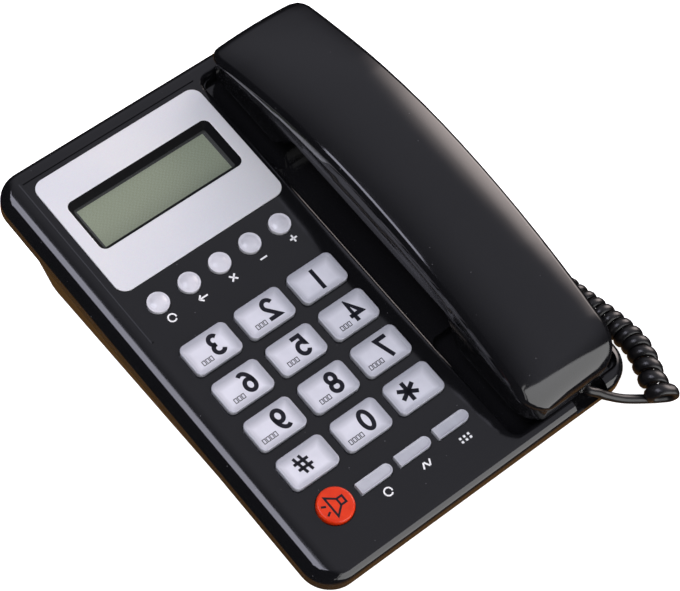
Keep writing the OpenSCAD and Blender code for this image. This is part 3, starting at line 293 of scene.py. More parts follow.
# %% Material: lacquered aluminium
def lacquered_plate():
    material, tree, shader, place = start_material(
        "lacquered_aluminium", Metallic=0.35, Roughness=0.42, Coat_Weight=0.2, Coat_Roughness=0.2)
    drift = add(tree, "TexNoise", {"Vector": place, "Scale": per(45), "Detail": 1.0})
    tone = add(tree, "ValToRGB", {"Fac": drift.outputs["Fac"]})
    tone.color_ramp.elements[0].color = linear("#d6d7dc")
    tone.color_ramp.elements[0].position = 0.35
    tone.color_ramp.elements[1].color = linear("#dcdcde")
    tone.color_ramp.elements[1].position = 0.65
    flake = add(tree, "TexVoronoi", {"Vector": place, "Scale": per(0.35)})
    sparkle = add(tree, "Mix", {
        "Factor": 0.06, "A": tone.outputs["Color"], "B": flake.outputs["Color"]},
        data_type="RGBA", blend_type="OVERLAY")
    tree.links.new(sparkle.outputs["Result"], shader.inputs["Base Color"])
    return material


SILVER_PLATE = lacquered_plate()

# %% [markdown]
# ## Display
# A liquid crystal display that is switched off is a grey-green film with a very fine grid of cells.
# A clear acrylic pane lies over it. The pane is given a low alpha instead of refraction, because light
# then still reaches the film below it.

# %% Materials: display film and clear pane
def display_film():
    material, tree, shader, place = start_material("display_film", Roughness=0.5, IOR=1.45)
    drift = add(tree, "TexNoise", {"Vector": place, "Scale": per(40), "Detail": 2.0})
    tone = add(tree, "ValToRGB", {"Fac": drift.outputs["Fac"]})
    tone.color_ramp.elements[0].color = linear("#6e7860")
    tone.color_ramp.elements[1].color = linear("#757e66")
    cells = add(tree, "TexChecker", {"Vector": place, "Scale": per(0.9)})
    grid = add(tree, "Mix", {
        "Factor": 0.03, "A": tone.outputs["Color"], "B": cells.outputs["Color"]}, data_type="RGBA")
    tree.links.new(grid.outputs["Result"], shader.inputs["Base Color"])
    return material


def clear_acrylic(name, tint, alpha):
    material, tree, shader, place = start_material(name, IOR=1.49, Alpha=alpha)
    smear = add(tree, "TexNoise", {"Vector": place, "Scale": per(14), "Detail": 4.0})
    rough = add(tree, "MapRange", {"Value": smear.outputs["Fac"], "To Min": 0.04, "To Max": 0.14})
    tree.links.new(rough.outputs["Result"], shader.inputs["Roughness"])
    shader.inputs["Base Color"].default_value = linear(tint)
    return material


DISPLAY_FILM = display_film()
CLEAR_PANE = clear_acrylic("clear_acrylic", "#e6ece8", 0.03)
CLEAR_PLUG = clear_acrylic("clear_polycarbonate", "#8e8e8c", 0.35)

# %% [markdown]
# ## Small parts
# The cord's jacket is satin PVC, the feet and the key mat are rubber, the screws are nickel-plated
# steel and the boards are green laminate. They share one recipe, a colour that wanders a little and a
# grain of the right size, with their own values.

# %% Material: a plain finish with its own grain
def grained(name, dark, light, cloud_mm, grain_mm, bump_strength, **sockets):
    material, tree, shader, place = start_material(name, **sockets)
    cloud = add(tree, "TexNoise", {"Vector": place, "Scale": per(cloud_mm), "Detail": 3.0})
    tone = add(tree, "ValToRGB", {"Fac": cloud.outputs["Fac"]})
    tone.color_ramp.elements[0].color = linear(dark)
    tone.color_ramp.elements[1].color = linear(light)
    tree.links.new(tone.outputs["Color"], shader.inputs["Base Color"])
    grain = add(tree, "TexNoise", {"Vector": place, "Scale": per(grain_mm), "Detail": 2.0})
    bump = add(tree, "Bump", {
        "Height": grain.outputs["Fac"], "Strength": bump_strength, "Distance": 0.05 * MM})
    tree.links.new(bump.outputs["Normal"], shader.inputs["Normal"])
    return material


PVC_JACKET = grained("satin_pvc", "#0a0a0b", "#121112", 5, 0.8, 0.1, Roughness=0.32, IOR=1.53)
RUBBER = grained("black_rubber", "#1c1c1d", "#29292a", 4, 0.4, 0.3, Roughness=0.8)
NICKEL = grained("nickel_plated_steel", "#a8a59c", "#c4c2ba", 6, 0.3, 0.1, Roughness=0.3, Metallic=1.0)
LAMINATE = grained("green_laminate", "#1d4a2a", "#2a6138", 8, 0.4, 0.1, Roughness=0.45)
DARK_NYLON = grained("dark_nylon", "#1a1a1b", "#252527", 6, 0.5, 0.2, Roughness=0.5)
WHITE_INK = grained("white_ink", "#d2d2d4", "#efeff0", 3, 0.3, 0.1, Roughness=0.6)
NAVY_INK = grained(
    "navy_ink", "#101018", "#181822", 3, 0.3, 0.1, Roughness=0.6, Specular_IOR_Level=0.2)
BLACK_INK = grained(
    "black_ink", "#0c0c0e", "#131315", 3, 0.3, 0.05, Roughness=0.7, Specular_IOR_Level=0.1)
print("materials:", len(bpy.data.materials))

# %% [markdown]
# ## The curly cord
# The cord leaves the handset's front end, dips to the table, winds into curls and ends in a socket on
# the base's side. A real one is wound on a rod while its jacket is soft, which flattens it, so it is
# round in the leads and wider than thick in the curls. First comes its middle line: the leads are
# splines through a few points, and the curls are a helix round an axis that swings out from the
# handset's end and runs back along the base. Near the handset the curls are pulled apart, and the first
# one is looser than the rest.

# %% Route of the cord
CORD_D, CORD_T = 3.8, 3.2
WIDEST = 5.6
COIL_D = 11.5
TURNS, FIRST_TURN = 34.25, 0.42
CLOSED_PITCH, STRETCH, STRETCHED_TURNS = 4.51, 2.6, 3
BASE_SIDE, BASE_FRONT = 78.5, -103.75
COIL_FROM_Y = BASE_FRONT - 16.75
COIL_NEAR, COIL_FAR, COIL_WALL = BASE_SIDE + 0.5, BASE_SIDE + 10.5, BASE_SIDE + COIL_D / 2 + 1
SWING_OUT, SWING_IN = (-122, -90), (-90, -45)
TABLE_GAP = 0.2
LOOSE, LOOSE_TURNS = 0.2, 0.9
HANDSET_PLUG_END = (FACE @ Vector((54.5, -100.35, 1.1))) / MM
BASE_PLUG_END = Vector((77.6, 60, 21.75))
STEPS_PER_CURL = 24
UP = Vector((0, 0, 1))


def ease(start, end, value):
    """Smooth step from 0 at the start to 1 at the end."""
    u = min(1, max(0, (value - start) / (end - start)))
    return u * u * (3 - 2 * u)


def coil_axis(s):
    """Point on the coil's axis at a length s back from its start."""
    y = COIL_FROM_Y + s
    out = (COIL_FAR - COIL_NEAR) * ease(*SWING_OUT, y)
    back = (COIL_FAR - COIL_WALL) * ease(*SWING_IN, y)
    return Vector((COIL_NEAR + out - back, y, COIL_D / 2 + TABLE_GAP))


def pitch_at(turn):
    """Distance between curls, which are pulled apart near the handset."""
    return CLOSED_PITCH + STRETCH * math.exp(-turn / STRETCHED_TURNS)


def coil_point(turn):
    """Point on the cord's middle line after a number of turns, and the way out from the axis."""
    s = CLOSED_PITCH * turn + STRETCH * STRETCHED_TURNS * (1 - math.exp(-turn / STRETCHED_TURNS))
    side = (coil_axis(s + 1) - coil_axis(s - 1)).normalized().cross(UP)
    a = 2 * math.pi * turn - math.pi / 2
    loose = 1 + LOOSE * (1 - ease(0, LOOSE_TURNS, turn))
    spoke = math.cos(a) * side + math.sin(a) * UP
    out = loose * math.cos(a) * side + math.sin(a) * UP
    return coil_axis(s) + (COIL_D - CORD_T) / 2 * out, spoke


def smooth_route(points, steps=8):
    """Points of a Catmull-Rom spline through the given points."""
    points = [Vector(p) for p in points]
    padded = [2 * points[0] - points[1]] + points + [2 * points[-1] - points[-2]]
    line = []
    for a, b, c, d in zip(padded, padded[1:], padded[2:], padded[3:]):
        for k in range(steps):
            u = k / steps
            line.append(0.5 * (2 * b + (c - a) * u + (2 * a - 5 * b + 4 * c - d) * u ** 2
                               + (3 * b - a - 3 * c + d) * u ** 3))
    return line + [points[-1]]


# The first lead goes through points below the handset's plug. For the last one each point has its
# distance from the base's side, its share of the way back to the socket, and its height.
DIPS = [
    (55.3, -101.9, 14.8), (58, -103.4, 12.9), (61, -105.3, 10.2), (67.8, -109, 5.6), (76.7, -113.8, 2.6),
    (81.3, -116.6, 2), (83.8, -118.2, 2.2), (85.2, -119.2, 4.5), (84.4, -119.1, 7.7)]
RISES = [(10.9, 0.13, 13.4), (10.4, 0.34, 17.2), (8.4, 0.63, 20.2), (4.6, 0.88, 21.6)]

steps = range(round(FIRST_TURN * STEPS_PER_CURL), round(TURNS * STEPS_PER_CURL) + 1)
turns = [k / STEPS_PER_CURL for k in steps]
curls = [coil_point(turn) for turn in turns]
coil_out = curls[-1][0] + CORD_D * UP
first_lead = smooth_route([HANDSET_PLUG_END, *DIPS, curls[0][0]])[:-1]
way_back = BASE_PLUG_END.y - coil_out.y
rising = [(BASE_SIDE + x, coil_out.y + share * way_back, z) for x, share, z in RISES]
last_lead = smooth_route([coil_out, *rising, BASE_PLUG_END])
cord_line = [p * MM for p in first_lead + [p for p, spoke in curls] + last_lead]

# %% [markdown]
# Rings of points across that line, joined by faces, make the tube. In the curls a ring's short axis points
# away from the coil's axis. In the leads the direction is carried along from ring to ring, so that the
# tube doesn't twist. The whole cord is one mesh.

# %% Cord mesh
RING = 12
ROUND_STEPS = 8
FLATTEN_FROM, FLATTEN_TO = -28, -8
CURL_FILL = 0.96


def carried(line, first):
    """A direction carried along a line of points, kept square to it."""
    way = first
    ways = []
    for a, b in zip(line, line[1:] + [2 * line[-1] - line[-2]]):
        along = (b - a).normalized()
        way = (way - way.dot(along) * along).normalized()
        ways.append(way)
    return ways


def tube(line, ways, widths, heights):
    """A bmesh tube along a line, from the way, width and height of its section at each point."""
    bm = bmesh.new()
    rings = []
    for i, (place, way) in enumerate(zip(line, ways)):
        along = (line[min(i + 1, len(line) - 1)] - line[max(i - 1, 0)]).normalized()
        side = along.cross(way).normalized()
        over = side.cross(along)
        rings.append([bm.verts.new(
            place + heights[i] / 2 * math.cos(a) * over + widths[i] / 2 * math.sin(a) * side)
            for a in (2 * math.pi * k / RING for k in range(RING))])
    for low, high in zip(rings, rings[1:]):
        for k in range(RING):
            bm.faces.new((low[k], low[k - 1], high[k - 1], high[k]))
    bm.faces.new(rings[0])
    bm.faces.new(rings[-1])
    bmesh.ops.recalc_face_normals(bm, faces=bm.faces)
    return bm


def place_piece(name, mesh, material, body):
    """An object for a finished mesh, riding on a body of the frame."""
    piece = bpy.data.objects.new(name, mesh)
    bpy.context.collection.objects.link(piece)
    mesh.materials.clear()
    mesh.materials.append(material)
    if body:
        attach(piece, body)
    return piece


first_ways = carried(first_lead[::-1], curls[0][1])[::-1]
last_ways = carried(last_lead, curls[-1][1])
ways = first_ways + [spoke for p, spoke in curls] + last_ways
# The section goes from round to flat as the lead winds up, and back over the last third of a curl
lead_flat = [ease(FLATTEN_FROM, FLATTEN_TO, i - len(first_lead)) for i in range(len(first_lead))]
curl_flat = [ease(0, ROUND_STEPS, len(curls) - 1 - k) for k in range(len(curls))]
flat = lead_flat + curl_flat + [0] * len(last_lead)
curl_widths = [min(WIDEST, CURL_FILL * pitch_at(turn)) for turn in turns]
flat_widths = [WIDEST] * len(first_lead) + curl_widths + [CORD_D] * len(last_lead)
widths = [(CORD_D + (w - CORD_D) * f) * MM for w, f in zip(flat_widths, flat)]
heights = [(CORD_D + (CORD_T - CORD_D) * f) * MM for f in flat]
cord_bm = tube(cord_line, ways, widths, heights)
for face in cord_bm.faces:
    face.smooth = len(face.verts) == 4
cord_mesh = bpy.data.meshes.new("curly_cord")
cord_bm.to_mesh(cord_mesh)
cord_bm.free()
curly_cord = place_piece("curly_cord", cord_mesh, PVC_JACKET, None)
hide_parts("cord_lead_handset", "cord_coil", "cord_lead_base")
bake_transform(curly_cord)
print("cord faces:", len(cord_mesh.polygons))

# %% [markdown]
# ## Mouldings
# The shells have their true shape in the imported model, but as loose triangles that shade flat. A copy
# is merged, its flat areas are dissolved into single faces, edges over a given angle are marked sharp,
# and a Weighted Normal modifier keeps large flat faces flat beside their rounded edges.

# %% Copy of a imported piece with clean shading
SAME_PLACE = 0.002
FLAT_ANGLE = 0.3


def merged(node):
    """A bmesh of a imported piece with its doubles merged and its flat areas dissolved."""
    bm = bmesh.new()
    bm.from_mesh(nodes[node].data)
    bmesh.ops.remove_doubles(bm, verts=bm.verts, dist=SAME_PLACE * MM)
    bmesh.ops.dissolve_limit(
        bm, angle_limit=math.radians(FLAT_ANGLE), verts=bm.verts, edges=bm.edges,
        use_dissolve_boundaries=False)
    return bm


def shade(bm, sharp_degrees):
    """Smooth faces, with every edge over that angle marked sharp."""
    for face in bm.faces:
        face.smooth = True
    for edge in bm.edges:
        edge.smooth = edge.calc_face_angle(0) < math.radians(sharp_degrees)


def finish_piece(bm, node, material, sharp_degrees=35, bevel_mm=0):
    """A finished piece from a bmesh, in place of an imported one."""
    shade(bm, sharp_degrees)
    mesh = bpy.data.meshes.new(node + "_finish")
    bm.to_mesh(mesh)
    bm.free()
    piece = place_piece(node + "_finish", mesh, material, nodes[node]["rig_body"])
    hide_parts(node)
    if bevel_mm:
        bevel = piece.modifiers.new("edge", "BEVEL")
        bevel.width = bevel_mm * MM
        bevel.segments = 2
        bevel.limit_method = "ANGLE"
        bevel.angle_limit = math.radians(sharp_degrees)
        bevel.harden_normals = True
    normals = piece.modifiers.new("flat_faces", "WEIGHTED_NORMAL")
    normals.keep_sharp = True
    return piece


# %% [markdown]
# The top housing falls away softly towards its left edge before it turns over, which widens the light
# along that edge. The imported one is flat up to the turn, so its top is cut into strips that are lowered.

# %% Soft fall towards the left edge
FALL_FROM = 10
TURN_R = 4.5
FALL = 0.7
FALL_STRIPS = 6
SLACK = 0.1


def soften_left(bm):
    """Lower the top face towards the left edge, and less further down the side."""
    left = min(vert.co.x for vert in bm.verts)
    for strip in range(FALL_STRIPS):
        reach = TURN_R + (FALL_FROM - TURN_R) * strip / (FALL_STRIPS - 1)
        bmesh.ops.bisect_plane(
            bm, geom=bm.verts[:] + bm.edges[:] + bm.faces[:], dist=0.001 * MM,
            plane_co=(left + reach * MM, 0, 0), plane_no=(1, 0, 0))
    for vert in bm.verts:
        place = TO_FACE @ vert.co
        reach = (vert.co.x - left) / MM
        if reach < FALL_FROM and -TURN_R < place.z < SLACK:
            fade = 1 + min(place.z, 0) / TURN_R
            place.z -= fade * FALL * ((FALL_FROM - reach) / (FALL_FROM - TURN_R)) ** 2
            vert.co = FACE @ place
    return bm


# %% [markdown]
# Now each moulding gets its finish. The number is the angle over which its edges are sharp.

# %% Finished mouldings
finish_piece(soften_left(merged("top_housing")), "top_housing", GLOSS_BLACK)
for node, material, slot, angle in (
        ("bottom_housing", GRAINED_BLACK, "black_plastic", 35),
        ("handset_back_shell", GLOSS_BLACK, "black_plastic", 45),
        ("handset_front_shell", GLOSS_BLACK, "black_plastic", 45),
        ("hook_plunger", GLOSS_BLACK, "black_plastic", 35),
        ("display_pane", CLEAR_PANE, "clear_pane", 35),
        ("lcd_panel", DISPLAY_FILM, "display_glass", 35),
        ("line_socket", DARK_NYLON, "grey_plastic", 35),
        ("base_cord_socket", DARK_NYLON, "grey_plastic", 35),
        ("handset_cord_socket", DARK_NYLON, "grey_plastic", 35),
        ("rubber_feet", RUBBER, "rubber", 35)):
    piece = finish_piece(merged(node), node, material, angle)
    print(node, "faces:", len(piece.data.polygons))
finish_piece(merged("faceplate"), "faceplate", SILVER_PLATE, bevel_mm=0.2)

# %% [markdown]
# ## Number keys
# A key is a block with a crisp top edge, and a fine step runs round its pad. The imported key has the
# block with a softer edge. The edge's rings of points are moved outwards and up to a smaller radius.
# Then the flat top face is found, and insets sink the pad a little behind its rim.

# %% Dished keys
NORMAL = FACE.to_3x3().normalized() @ Vector((0, 0, 1))


def highest_face(bm):
    """The largest face that looks straight out of the telephone's face."""
    flat = [f for f in bm.faces if f.normal.dot(NORMAL) > 0.999]
    level = max(f.calc_center_median().dot(NORMAL) for f in flat)
    return max((f for f in flat if f.calc_center_median().dot(NORMAL) > level - 0.05 * MM),
               key=lambda f: f.calc_area())


def dish(bm, rim_mm, step_mm, depth_mm):
    """Sinks the top of a key inside a rim, in two insets that round the step."""
    top = highest_face(bm)
    bmesh.ops.inset_region(bm, faces=[top], thickness=rim_mm * MM, depth=0)
    bmesh.ops.inset_region(bm, faces=[top], thickness=step_mm / 2 * MM, depth=-0.7 * depth_mm * MM)
    bmesh.ops.inset_region(bm, faces=[top], thickness=step_mm / 2 * MM, depth=-0.3 * depth_mm * MM)


KEY_ROWS = [["3", "2", "1"], ["6", "5", "4"], ["9", "8", "7"], ["hash", "0", "star"]]
KEY_PROUD, SOFT_EDGE, CRISP_EDGE, OVERHANG = 2.2, 1.0, 0.45, 0.25
DISH_DEPTH = 0.12
KEY_RIM, KEY_STEP = 1.0, 0.25
FUNCTION_RIM, FUNCTION_STEP, FUNCTION_DEPTH = 0.45, 0.4, 0.35


def key_place(c, r):
    """Middle of the key in a column and row, on the face."""
    return Vector((KEY_X + (c - 1) * KEY_PITCH_X, KEY_T + (1.5 - r) * KEY_PITCH_T, 0))


def crisp(bm, middle):
    """Moves the points of a key's soft top edge to a crisper one."""
    for vert in bm.verts:
        p = TO_FACE @ vert.co - middle
        rise = (p.z - KEY_PROUD) / SOFT_EDGE + 1
        if rise < -0.01:
            continue
        corner = Vector((
            max(abs(p.x) - KEY_W / 2 + KEY_R, 0), max(abs(p.y) - KEY_D / 2 + KEY_R, 0)))
        inset = KEY_R - corner.length
        grow = (KEY_R + OVERHANG - inset * CRISP_EDGE / SOFT_EDGE) / corner.length - 1
        p += Vector((math.copysign(corner.x * grow, p.x), math.copysign(corner.y * grow, p.y), 0))
        p.z = KEY_PROUD - CRISP_EDGE * (1 - rise)
        vert.co = FACE @ (p + middle)
    bm.normal_update()


for r, row in enumerate(KEY_ROWS):
    for c, key in enumerate(row):
        bm = merged("key_" + key)
        crisp(bm, key_place(c, r))
        dish(bm, KEY_RIM, KEY_STEP, DISH_DEPTH)
        finish_piece(bm, "key_" + key, MILKY_KEY, 50)
for i in (1, 2, 3):
    bm = merged(f"function_key_{i}")
    dish(bm, FUNCTION_RIM, FUNCTION_STEP, FUNCTION_DEPTH)
    finish_piece(bm, f"function_key_{i}", FROSTED_KEY, 50)
for i in (1, 2, 3, 4, 5):
    finish_piece(merged(f"menu_button_{i}"), f"menu_button_{i}", SILVER_BUTTON, 30)
finish_piece(merged("speaker_key"), "speaker_key", RED_KEY, 50)
print("number keys:", sum(len(row) for row in KEY_ROWS))

# %% [markdown]
# ## Numbers on the keys
# The numbers are printed in bold ink. Each is drawn as a person would write it, with a few broad
# strokes: straight lines and parts of ellipses, on a grid one unit tall. A ribbon follows each stroke,
# with mitred corners. The photograph is a mirror image, so the numbers are mirrored too.
# Beside the number's foot lies a row of small empty boxes.

# %% Strokes of the numbers
def bow(x, y, rx, ry, start, end):
    """Points of a part of an ellipse, from one angle to another in degrees."""
    steps = max(4, abs(end - start) // 12)
    angles = [math.radians(start + (end - start) * k / steps) for k in range(steps + 1)]
    return [(x + rx * math.cos(a), y + ry * math.sin(a)) for a in angles]


SIX = [bow(0, -0.16, 0.215, 0.255, 0, 360), bow(0.1, -0.13, 0.315, 0.545, 180, 62)]
STROKES = {
    "0": [bow(0, 0, 0.225, 0.415, 0, 360)],
    "1": [[(0, -0.5), (0, 0.5)]],
    "2": [bow(0, 0.18, 0.22, 0.235, 168, -38) + [(-0.2, -0.415), (0.3, -0.415)]],
    "3": [bow(0, 0.2, 0.2, 0.215, 150, -90), bow(0, -0.2, 0.225, 0.215, 90, -152)],
    "4": [[(0.12, -0.5), (0.12, 0.42), (-0.26, -0.19), (0.32, -0.19)]],
    "5": [[(0.25, 0.415), (-0.15, 0.415), (-0.19, 0.03)] + bow(0, -0.14, 0.225, 0.275, 138, -150)],
    "6": SIX,
    "7": [[(-0.28, 0.415), (0.24, 0.415), (-0.05, -0.5)]],
    "8": [bow(0, 0.2, 0.185, 0.215, 0, 360), bow(0, -0.2, 0.22, 0.215, 0, 360)],
    "9": [[(-x, -y) for x, y in stroke] for stroke in SIX],
    "star": [[(-0.45 * math.cos(a), -0.45 * math.sin(a)), (0.45 * math.cos(a), 0.45 * math.sin(a))]
             for a in (math.radians(d) for d in (90, 30, -30))],
    "hash": [[(-0.2, -0.4), (-0.04, 0.4)], [(0.06, -0.4), (0.22, 0.4)],
             [(-0.33, 0.14), (0.36, 0.14)], [(-0.36, -0.14), (0.33, -0.14)]],
}


def ribbon(bm, points, width):
    """Flat ink of one width along a line of points, with mitred corners."""
    points = [Vector(p) for p in points]
    closed = (points[0] - points[-1]).length < 1e-6
    sides = []
    for i, point in enumerate(points):
        before = points[-2] if closed and i == 0 else points[max(i - 1, 0)]
        after = points[1] if closed and i == len(points) - 1 else points[min(i + 1, len(points) - 1)]
        into = (point - before).normalized() if point != before else (after - point).normalized()
        out = (after - point).normalized() if after != point else into
        mean = (into + out).normalized()
        reach = width / 2 / max(0.4, mean.dot(into))
        square = Vector((-mean.y, mean.x)) * reach
        sides.append([bm.verts.new((*(point + sign * square), 0)) for sign in (1, -1)])
    for (a, b), (c, d) in zip(sides, sides[1:]):
        bm.faces.new((a, b, d, c))


def face_up(bm):
    """Turns every flat face of ink to look up."""
    bm.normal_update()
    bmesh.ops.reverse_faces(bm, faces=[f for f in bm.faces if f.normal.z < 0])


def bar(bm, x, y, w, h, turn=0):
    """A flat bar of ink about a point."""
    place = Matrix.Translation((x, y, 0)) @ Matrix.Rotation(turn, 4, "Z") @ Matrix.Diagonal((w, h, 1, 1))
    bmesh.ops.create_grid(bm, x_segments=1, y_segments=1, size=0.5, matrix=place)


def print_on(name, bm, x, t, n, material, body):
    """Lays flat ink on the face at a place and height, as a piece on a body."""
    face_up(bm)
    bmesh.ops.translate(bm, verts=bm.verts, vec=(x, t, n))
    bmesh.ops.transform(bm, matrix=FACE, verts=bm.verts)
    mesh = bpy.data.meshes.new(name)
    bm.to_mesh(mesh)
    bm.free()
    return place_piece(name, mesh, material, body)


# %% Printed numbers
NUMBER_HEIGHT = 9.6
INK = 0.03
STROKE, HASH_STROKE = 0.185, 0.13
SHIFT = {"star": (-2.9, 0), "hash": (-1.9, 0.3), "1": (-0.3, -0.6)}
USUAL_SHIFT = (2.6, 0.2)
MARK_X, MARK_Y, MARK_PITCH, MARK_STROKE = -2.6, -3.6, 1.75, 0.3
MARK = [(-0.6, -0.95), (0.6, -0.95), (0.6, 0.95), (-0.6, 0.95), (-0.6, -0.95)]
for r, row in enumerate(KEY_ROWS):
    for c, key in enumerate(row):
        bm = bmesh.new()
        for stroke in STROKES[key]:
            ribbon(bm, stroke, HASH_STROKE if key == "hash" else STROKE)
        bmesh.ops.scale(bm, verts=bm.verts, vec=(-NUMBER_HEIGHT, NUMBER_HEIGHT, 1))
        bmesh.ops.translate(bm, verts=bm.verts, vec=(*SHIFT.get(key, USUAL_SHIFT), 0))
        marks = 0 if key in SHIFT else 4 if key in "790" else 3
        for i in range(marks):
            ribbon(bm, [(x + MARK_X - MARK_PITCH * i, y + MARK_Y) for x, y in MARK], MARK_STROKE)
        place = key_place(c, r)
        level = KEY_PROUD - DISH_DEPTH + INK
        print_on(
            f"key_{key}_print", bm, place.x, place.y, level, NAVY_INK, "key_" + key)
print("numbers printed:", len(STROKES))

# %% [markdown]
# ## Signs on the face
# Beside each button lies a small plain sign in white ink: an open ring, an arrow, a cross, a minus and a
# plus for the menu, and an open ring, a zigzag and a grid of dots for the function keys. They are drawn
# with short bars.

# %% White signs
MENU_X, MENU_T, MENU_PITCH = -25.7, 25.35, 14.9
BAR_X, BAR_T, BAR_PITCH = -16.2, -80.75, 18.9
SIGN_SCALE = 1.25
MENU_SIGN_X, MENU_SIGN_T = 0.7, -8
BAR_SIGN_X, BAR_SIGN_T = 1, -7


def sign_strokes(kind):
    """Bars of a sign, each as middle x, middle y, width, height and turn."""
    if kind == "plus":
        return [(0, 0, 2.6, 0.6, 0), (0, 0, 0.6, 2.6, 0)]
    if kind == "minus":
        return [(0, 0, 2.6, 0.6, 0)]
    if kind == "cross":
        return [(0, 0, 3, 0.6, math.pi / 4), (0, 0, 3, 0.6, -math.pi / 4)]
    if kind == "arrow":
        tip = [(-0.9, 0.55 * k, 1.7, 0.55, k * math.pi / 4) for k in (1, -1)]
        return [(0.2, 0, 3.2, 0.55, 0), *tip]
    if kind == "dots":
        return [(x, y, 0.8, 0.8, 0) for x in (-1.6, 0, 1.6) for y in (-1.1, 0.2)]
    if kind == "zigzag":
        return [(-1.2, 0, 2.2, 0.55, 1.1), (0, 0, 2.2, 0.55, -1.1), (1.2, 0, 2.2, 0.55, 1.1)]
    ring = [2 * math.pi * k / 12 for k in range(11)]
    return [(1.3 * math.cos(a), 1.3 * math.sin(a), 0.75, 0.5, a + math.pi / 2) for a in ring]


def white_sign(kind, x, t):
    """Prints one sign on the base at a place on the face."""
    bm = bmesh.new()
    for stroke in sign_strokes(kind):
        bar(bm, *stroke)
    bmesh.ops.scale(bm, verts=bm.verts, vec=(SIGN_SCALE, SIGN_SCALE, 1))
    print_on(f"sign_{kind}", bm, x, t, INK, WHITE_INK, "base")


for i, kind in enumerate(("ring", "arrow", "cross", "minus", "plus")):
    white_sign(kind, MENU_X + (i - 2) * MENU_PITCH + MENU_SIGN_X, MENU_T + MENU_SIGN_T)
for i, kind in enumerate(("dial_ring", "zigzag", "dots")):
    white_sign(kind, BAR_X + (i - 1) * BAR_PITCH + BAR_SIGN_X, BAR_T + BAR_SIGN_T)

# %% [markdown]
# The red key has an outline of a loudspeaker: a small box with a flared horn, and two lines of sound.

# %% Loudspeaker sign
SPEAKER_X, SPEAKER_T = -53.9, -80.45
SIGN_GROW = 1.22
SIGN_STROKE = 0.85
HORN = [(-3.2, 1.2), (-1.2, 1.2), (1.8, 3.6), (1.8, -3.6), (-1.2, -1.2), (-3.2, -1.2), (-3.2, 1.2)]
bm = bmesh.new()
for stroke in (HORN, [(-1.2, 1.2), (-1.2, -1.2)], [(3, 1), (4.4, 1.8)], [(3, -1), (4.4, -1.8)]):
    ribbon(bm, [(-x * SIGN_GROW, y * SIGN_GROW) for x, y in stroke], SIGN_STROKE)
print_on(
    "speaker_key_print", bm, SPEAKER_X, SPEAKER_T, KEY_PROUD + INK, NAVY_INK, "speaker_key")
print("signs printed on the face and the red key")

# %% [markdown]
# ## Inner pieces and fixings
# What lies inside is hardly seen, but each piece still gets the finish of its real material.

# %% Finishes of the inner pieces
INNER = {
    "display_board": LAMINATE, "main_board": LAMINATE, "keypad_mat": RUBBER, "hook_switch": DARK_NYLON,
    "loudspeaker": DARK_NYLON, "handsfree_microphone": NICKEL, "housing_screws": NICKEL,
    "board_screws": NICKEL, "earpiece": DARK_NYLON, "mouthpiece_microphone": NICKEL,
    "handset_weight": NICKEL, "handset_screws": NICKEL, "handset_plug": CLEAR_PLUG,
    "base_plug": CLEAR_PLUG}
for node, material in INNER.items():
    for material_slot in nodes[node].material_slots:
        material_slot.material = material
print("inner pieces:", len(INNER))

# %% [markdown]
# ## Black border of the display
# Round the cells of a display lies a printed black border, and the cut edge of the silver plate's window
# is painted black as well, with the housing's wall below it. The border is a flat frame of ink on the
# display film. The walls are found by their normals, and get the black paint as a second material.

# %% Border and window edge
WINDOW_X, WINDOW_T, WINDOW_W, WINDOW_D = -24.15, 68.35, 69.4, 25.2
BORDER_X, BORDER_T = 3.6, 3.0
EDGE_REACH = 1.5
WALL_LEAN = 0.9
film_level = max((TO_FACE @ v.co).z for v in nodes["lcd_panel"].data.vertices)
bm = bmesh.new()
for sign in (-1, 1):
    bar(bm, sign * (WINDOW_W - BORDER_X) / 2, 0, BORDER_X, WINDOW_D)
    bar(bm, 0, sign * (WINDOW_D - BORDER_T) / 2, WINDOW_W - 2 * BORDER_X, BORDER_T)
print_on(
    "display_border", bm, WINDOW_X, WINDOW_T, film_level + INK, BLACK_INK, "base")
for name in ("faceplate_finish", "top_housing_finish"):
    mesh = bpy.data.objects[name].data
    mesh.materials.append(BLACK_INK)
    for polygon in mesh.polygons:
        middle = TO_FACE @ polygon.center - Vector((WINDOW_X, WINDOW_T, 0))
        near_x = abs(middle.x) < WINDOW_W / 2 + EDGE_REACH
        near_t = abs(middle.y) < WINDOW_D / 2 + EDGE_REACH
        if near_x and near_t and abs(polygon.normal.dot(NORMAL)) < WALL_LEAN:
            polygon.material_index = 1
    print(name, "black faces:", sum(polygon.material_index for polygon in mesh.polygons))

# %% [markdown]
# ## Studio
# The telephone stands on a white sweep. Gloss black shows nothing but what it mirrors, so each light has
# a place where a shape should catch it: a window high on the left for the left edges, and two windows in
# front, a wide one and a narrow one, for the handset's nose. Two more lights stand for lamps behind a
# polarising filter. They light the matt parts and aren't mirrored. The sweep glows a little, so that no
# shadow stays on it, and isn't mirrored in the black sides.

